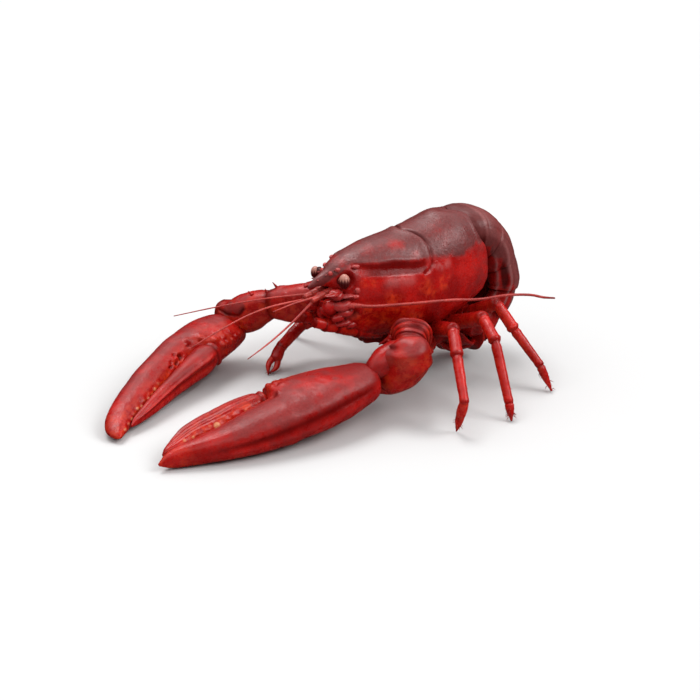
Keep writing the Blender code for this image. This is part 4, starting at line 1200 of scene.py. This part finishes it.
def jawLegParts(shape, seed):
    parts = []
    for k, (start, end, first, last, tall) in enumerate(shape["links"]):
        middle = [(a + b) / 2 for a, b in zip(start, end)]
        rows = [(*start, first, tall), (*middle, (first + last) / 2 * 1.06, tall * 1.05),
                (*end, last, tall * 0.9)]
        grid, share, angles = tubeGrid(rows, 28, 36, square=0.85)
        keel = bell(np.degrees(angles) - 90, 20)
        height = (0.3 * softNoise(grid, 5, seed + k) + 0.5 * keel + 0.05 * pebbles(grid, 1.2, seed + k)
                  + 0.35 * bell(share - 0.93, 0.05) - 0.3 * bell(share - 0.06, 0.05))
        grid = raised(grid, height)
        shade = 0.7 * (bell(share, 0.06) + bell(share - 1, 0.05)) + 0 * angles
        parts.append(gridPart(grid, {"shade": np.clip(shade, 0, 1), "orange": 0.3 * (1 - keel) + 0 * share}))
    count = shape["bristleCount"]
    return parts + bristleParts(*shape["bristles"], 1.2, count, seed + 9, length=2.6, thick=0.3)


def whipPart(rows, rings, ringSize):
    # a feeler made of hundreds of tiny links
    rows = [(*row, row[3]) for row in rows]
    grid, share, angles = tubeGrid(rows, rings, 8, blunt=0.8)
    path = smoothPath(rows, rings)
    length = np.linalg.norm(np.diff(path[:, :3], axis=0), axis=1).sum()
    wave = np.abs(np.sin(share * np.pi * length / ringSize))
    thick = np.interp(share, np.linspace(0, 1, len(rows)), [row[3] for row in rows])
    grid = raised(grid, 0.09 * thick * (wave - 0.5) + 0 * angles)
    return gridPart(grid, {"shade": 0.35 * (1 - wave) + 0.5 * ease(share, 0.9, 1.0) + 0 * angles})


# x, y, z and half thickness along each feeler
feelerShapes = {
    "long": [(17.6, -104.5, 68.0, 1.9), (20.5, -100.5, 68.2, 1.5), (24, -95.7, 67.7, 1.12),
             (30, -81, 66.7, 1.05), (35, -69, 66.4, 1.02), (39.5, -56, 66.0, 1.0), (43, -42, 65.0, 0.98),
             (46, -20, 61.4, 0.96), (47.5, 7, 58.7, 0.92), (49.5, 27, 54.5, 0.88), (50, 35, 51.5, 0.85),
             (50.5, 46, 48.5, 0.6)],
    "right_upper": [(-4, -122, 73.5, 0.8), (-12, -143.6, 73.6, 0.55), (-25, -174.5, 71, 0.45),
                    (-35, -199.5, 67.9, 0.3)],
    "right_lower": [(-4, -123, 70.5, 0.8), (-6, -155, 70, 0.55), (-8, -186, 62.5, 0.45),
                    (-8, -204, 57, 0.3)],
    "left_upper": [(4, -122, 73.5, 0.8), (3, -137, 72.5, 0.55), (2, -151, 70.3, 0.35)],
    "left_lower": [(4, -123, 70.5, 0.85), (6, -142, 60.5, 0.65), (8.5, -160, 53.4, 0.5),
                   (10.8, -176.5, 48.4, 0.3)],
    # start, end and size of the short links that carry the fine feelers
    "root": [((3.4, -107, 74.5), (3.6, -113, 74), 2.6), ((3.6, -112, 74), (3.8, -117.5, 73), 2.2),
             ((3.8, -117, 73), (4.0, -123, 72), 1.9)],
}


def feelerRoot(links, side, seed):
    parts = []
    for k, (start, end, size) in enumerate(links):
        start, end = np.array(start) * (side, 1, 1), np.array(end) * (side, 1, 1)
        parts.append(segmentPart(start, end, size, size * 0.92, seed + k, rings=18, sides=20))
    return parts


def onSide(parts, side):
    # shaped on the left, mirrored for the right
    return parts if side == 1 else [mirroredPart(part) for part in parts]


for side, label in ((1, "left"), (-1, "right")):
    eye = onSide(eyeParts(eyeShape, label, 810), side)
    buildPiece(f"eye.{label}", eye, eyeCrust, "eye", f"eye_{label}")
    for name, node, parts in (("antennaBase", "antenna_base_", antennaBaseParts(antennaShape, 820)),
                              ("antennaScale", "antenna_scale_", antennaScaleParts(antennaShape)),
                              ("jawLeg", "mouth_leg_", jawLegParts(jawLegShape, 840))):
        buildPiece(f"{name}.{label}", onSide(parts, side), mouthCrust, "mouth", node + label)
    whip = onSide([whipPart(feelerShapes["long"], 760, 1.1)], side)
    buildPiece(f"longFeeler.{label}", whip, whipCrust, "whip", f"antenna_{label}")
    for branch in ("upper", "lower"):
        parts = [whipPart(feelerShapes[f"{label}_{branch}"], 330, 0.9)]
        if branch == "upper":
            parts += feelerRoot(feelerShapes["root"], side, 880)
        buildPiece(f"shortFeeler.{label}.{branch}", parts, whipCrust, "whip", f"antennule_{label}_{branch}")
print("head shaped")


mouthShape = {
    # place and half sizes of the knobs between the feelers and the jaw legs
    "frame": [((0, -107, 66), (7.5, 6.0, 6.5)), ((0, -112, 71.5), (4.5, 5.5, 3.0)),
              ((0, -110, 60), (5.0, 5.0, 5.0)), ((0, -100, 52), (9, 9, 7))],
    "plateCount": 4,
}
breastShape = {
    "rows": [(0, -78, 36, 5, 4), (0, -60, 33, 14, 6), (0, -40, 31, 20, 8.5), (0, -20, 31, 21, 10.5),
             (0, -2, 34.5, 17, 9), (0, 6, 39, 11, 5)],
    "bands": 5.5, "bandHeight": 0.7,
}


def mouthPlateParts(shape):
    parts = [lump(spot, sizes, 900 + k) for k, (spot, sizes) in enumerate(shape["frame"])]
    for k in range(shape["plateCount"]):
        x, y, z = 7.5 - 0.6 * k, -103.5 - 3.2 * k, 56.5 + 2.2 * k
        plate = lump((x, y, z), (2.3, 5.2, 4.2 - 0.3 * k), 905 + k, lean=(0.25, -0.9, 0.35))
        parts += [plate, mirroredPart(plate)]
    return parts


def breastPart(shape):
    # the jointed plate between the legs, painted dark all over as the shade under the body, darker still in
    # the troughs between its bands
    grid, share, angles = tubeGrid(shape["rows"], 90, 60, square=0.7)
    bands = np.cos(share * np.pi * 2 * shape["bands"])
    height = shape["bandHeight"] * bands + 0.3 * softNoise(grid, 5, 950) - 0.9 * bell(grid[..., 0], 1.2)
    grid = raised(grid, height)
    return gridPart(grid, {"shade": 0.55 + 0.25 * (0.5 - 0.5 * bands) + 0 * height})


buildPiece("mouthPlates", mouthPlateParts(mouthShape), mouthCrust, "mouth")
buildPiece("breastPlate", [breastPart(breastShape)], legCrust, "leg")
print("underside shaped")

cameraSetup = {"azimuth": 52.0, "elevation": 22.5, "fieldOfView": 28.0, "distance": 0.898,
               "target": (12.0, -99.0, 35.0)}
# a ring of light about halfway up, a wide lamp nearly overhead and a lower one beside the tail
studioLight = {
    "skyByHeight": [(0.0, 0.02), (0.42, 0.04), (0.60, 0.75), (0.72, 1.0), (0.84, 0.9), (0.92, 0.2),
                    (1.0, 0.12)],
    "skyStrength": 2.0,
    "floorTone": 0.535,
    "floorReach": 40.0,
    "lamps": {
        "overhead": {"from": (-0.62, 0.05, 1.8), "strength": 1.9, "spread": 30.0},
        "beside": {"from": (1.17, 0.98, 1.25), "strength": 1.6, "spread": 32.0},
    },
}


def cameraRig(settings):
    azimuth, elevation = math.radians(settings["azimuth"]), math.radians(settings["elevation"])
    target = Vector(np.array(settings["target"]) * toMetres + homeSpot)
    back = Vector((math.sin(azimuth) * math.cos(elevation), -math.cos(azimuth) * math.cos(elevation),
                   math.sin(elevation)))
    data = bpy.data.cameras.new("camera")
    data.sensor_width = 36.0
    data.lens = data.sensor_width / 2 / math.tan(math.radians(settings["fieldOfView"] / 2))
    camera = bpy.data.objects.new("camera", data)
    camera.location = target + back * settings["distance"]
    camera.rotation_euler = (-back).to_track_quat("-Z", "Y").to_euler()
    bpy.context.scene.collection.objects.link(camera)
    bpy.context.scene.camera = camera


def studioFloor():
    made = bpy.data.materials.new("paleFloor")
    made.use_nodes = True
    shader = made.node_tree.nodes["Principled BSDF"]
    shader.inputs["Base Color"].default_value = (*(3 * [studioLight["floorTone"]]), 1)
    shader.inputs["Roughness"].default_value = 0.9
    shader.inputs["Specular IOR Level"].default_value = 0.0
    mesh = bpy.data.meshes.new("studioFloor")
    reach = studioLight["floorReach"]
    mesh.from_pydata([(-reach, -reach, 0), (reach, -reach, 0), (reach, reach, 0), (-reach, reach, 0)], [],
                     [(0, 1, 2, 3)])
    mesh.materials.append(made)
    floor = bpy.data.objects.new("studioFloor", mesh)
    floor.visible_glossy = False
    bpy.context.scene.collection.objects.link(floor)


def softSun(name, spot, strength, spread):
    # a far, wide light: even over the whole floor, soft at its shadows' edges
    data = bpy.data.lights.new(name, "SUN")
    data.energy, data.angle = strength, math.radians(spread)
    lamp = bpy.data.objects.new(name, data)
    lamp.location = spot
    lamp.rotation_euler = (-Vector(spot)).to_track_quat("-Z", "Y").to_euler()
    bpy.context.scene.collection.objects.link(lamp)


def studioSky():
    world = bpy.data.worlds.new("studioSky")
    bpy.context.scene.world = world
    world.use_nodes = True
    tree = world.node_tree
    coords = tree.nodes.new("ShaderNodeTexCoord")
    split = tree.nodes.new("ShaderNodeSeparateXYZ")
    ramp = tree.nodes.new("ShaderNodeValToRGB")
    tree.links.new(coords.outputs["Generated"], split.inputs[0])
    tree.links.new(split.outputs["Z"], ramp.inputs[0])
    tree.links.new(ramp.outputs[0], tree.nodes["Background"].inputs[0])
    stops = studioLight["skyByHeight"]
    ramp.color_ramp.elements[0].position = stops[0][0]
    ramp.color_ramp.elements[1].position = stops[-1][0]
    for place, value in stops[1:-1]:
        ramp.color_ramp.elements.new(place)
    for element, (place, value) in zip(ramp.color_ramp.elements, stops):
        element.color = (value, value, value, 1)
    tree.nodes["Background"].inputs["Strength"].default_value = studioLight["skyStrength"]


cameraRig(cameraSetup)
studioFloor()
for name, lamp in studioLight["lamps"].items():
    softSun(name, lamp["from"], lamp["strength"], lamp["spread"])
studioSky()
bpy.context.scene.view_settings.view_transform = "Standard"
print("studio set")
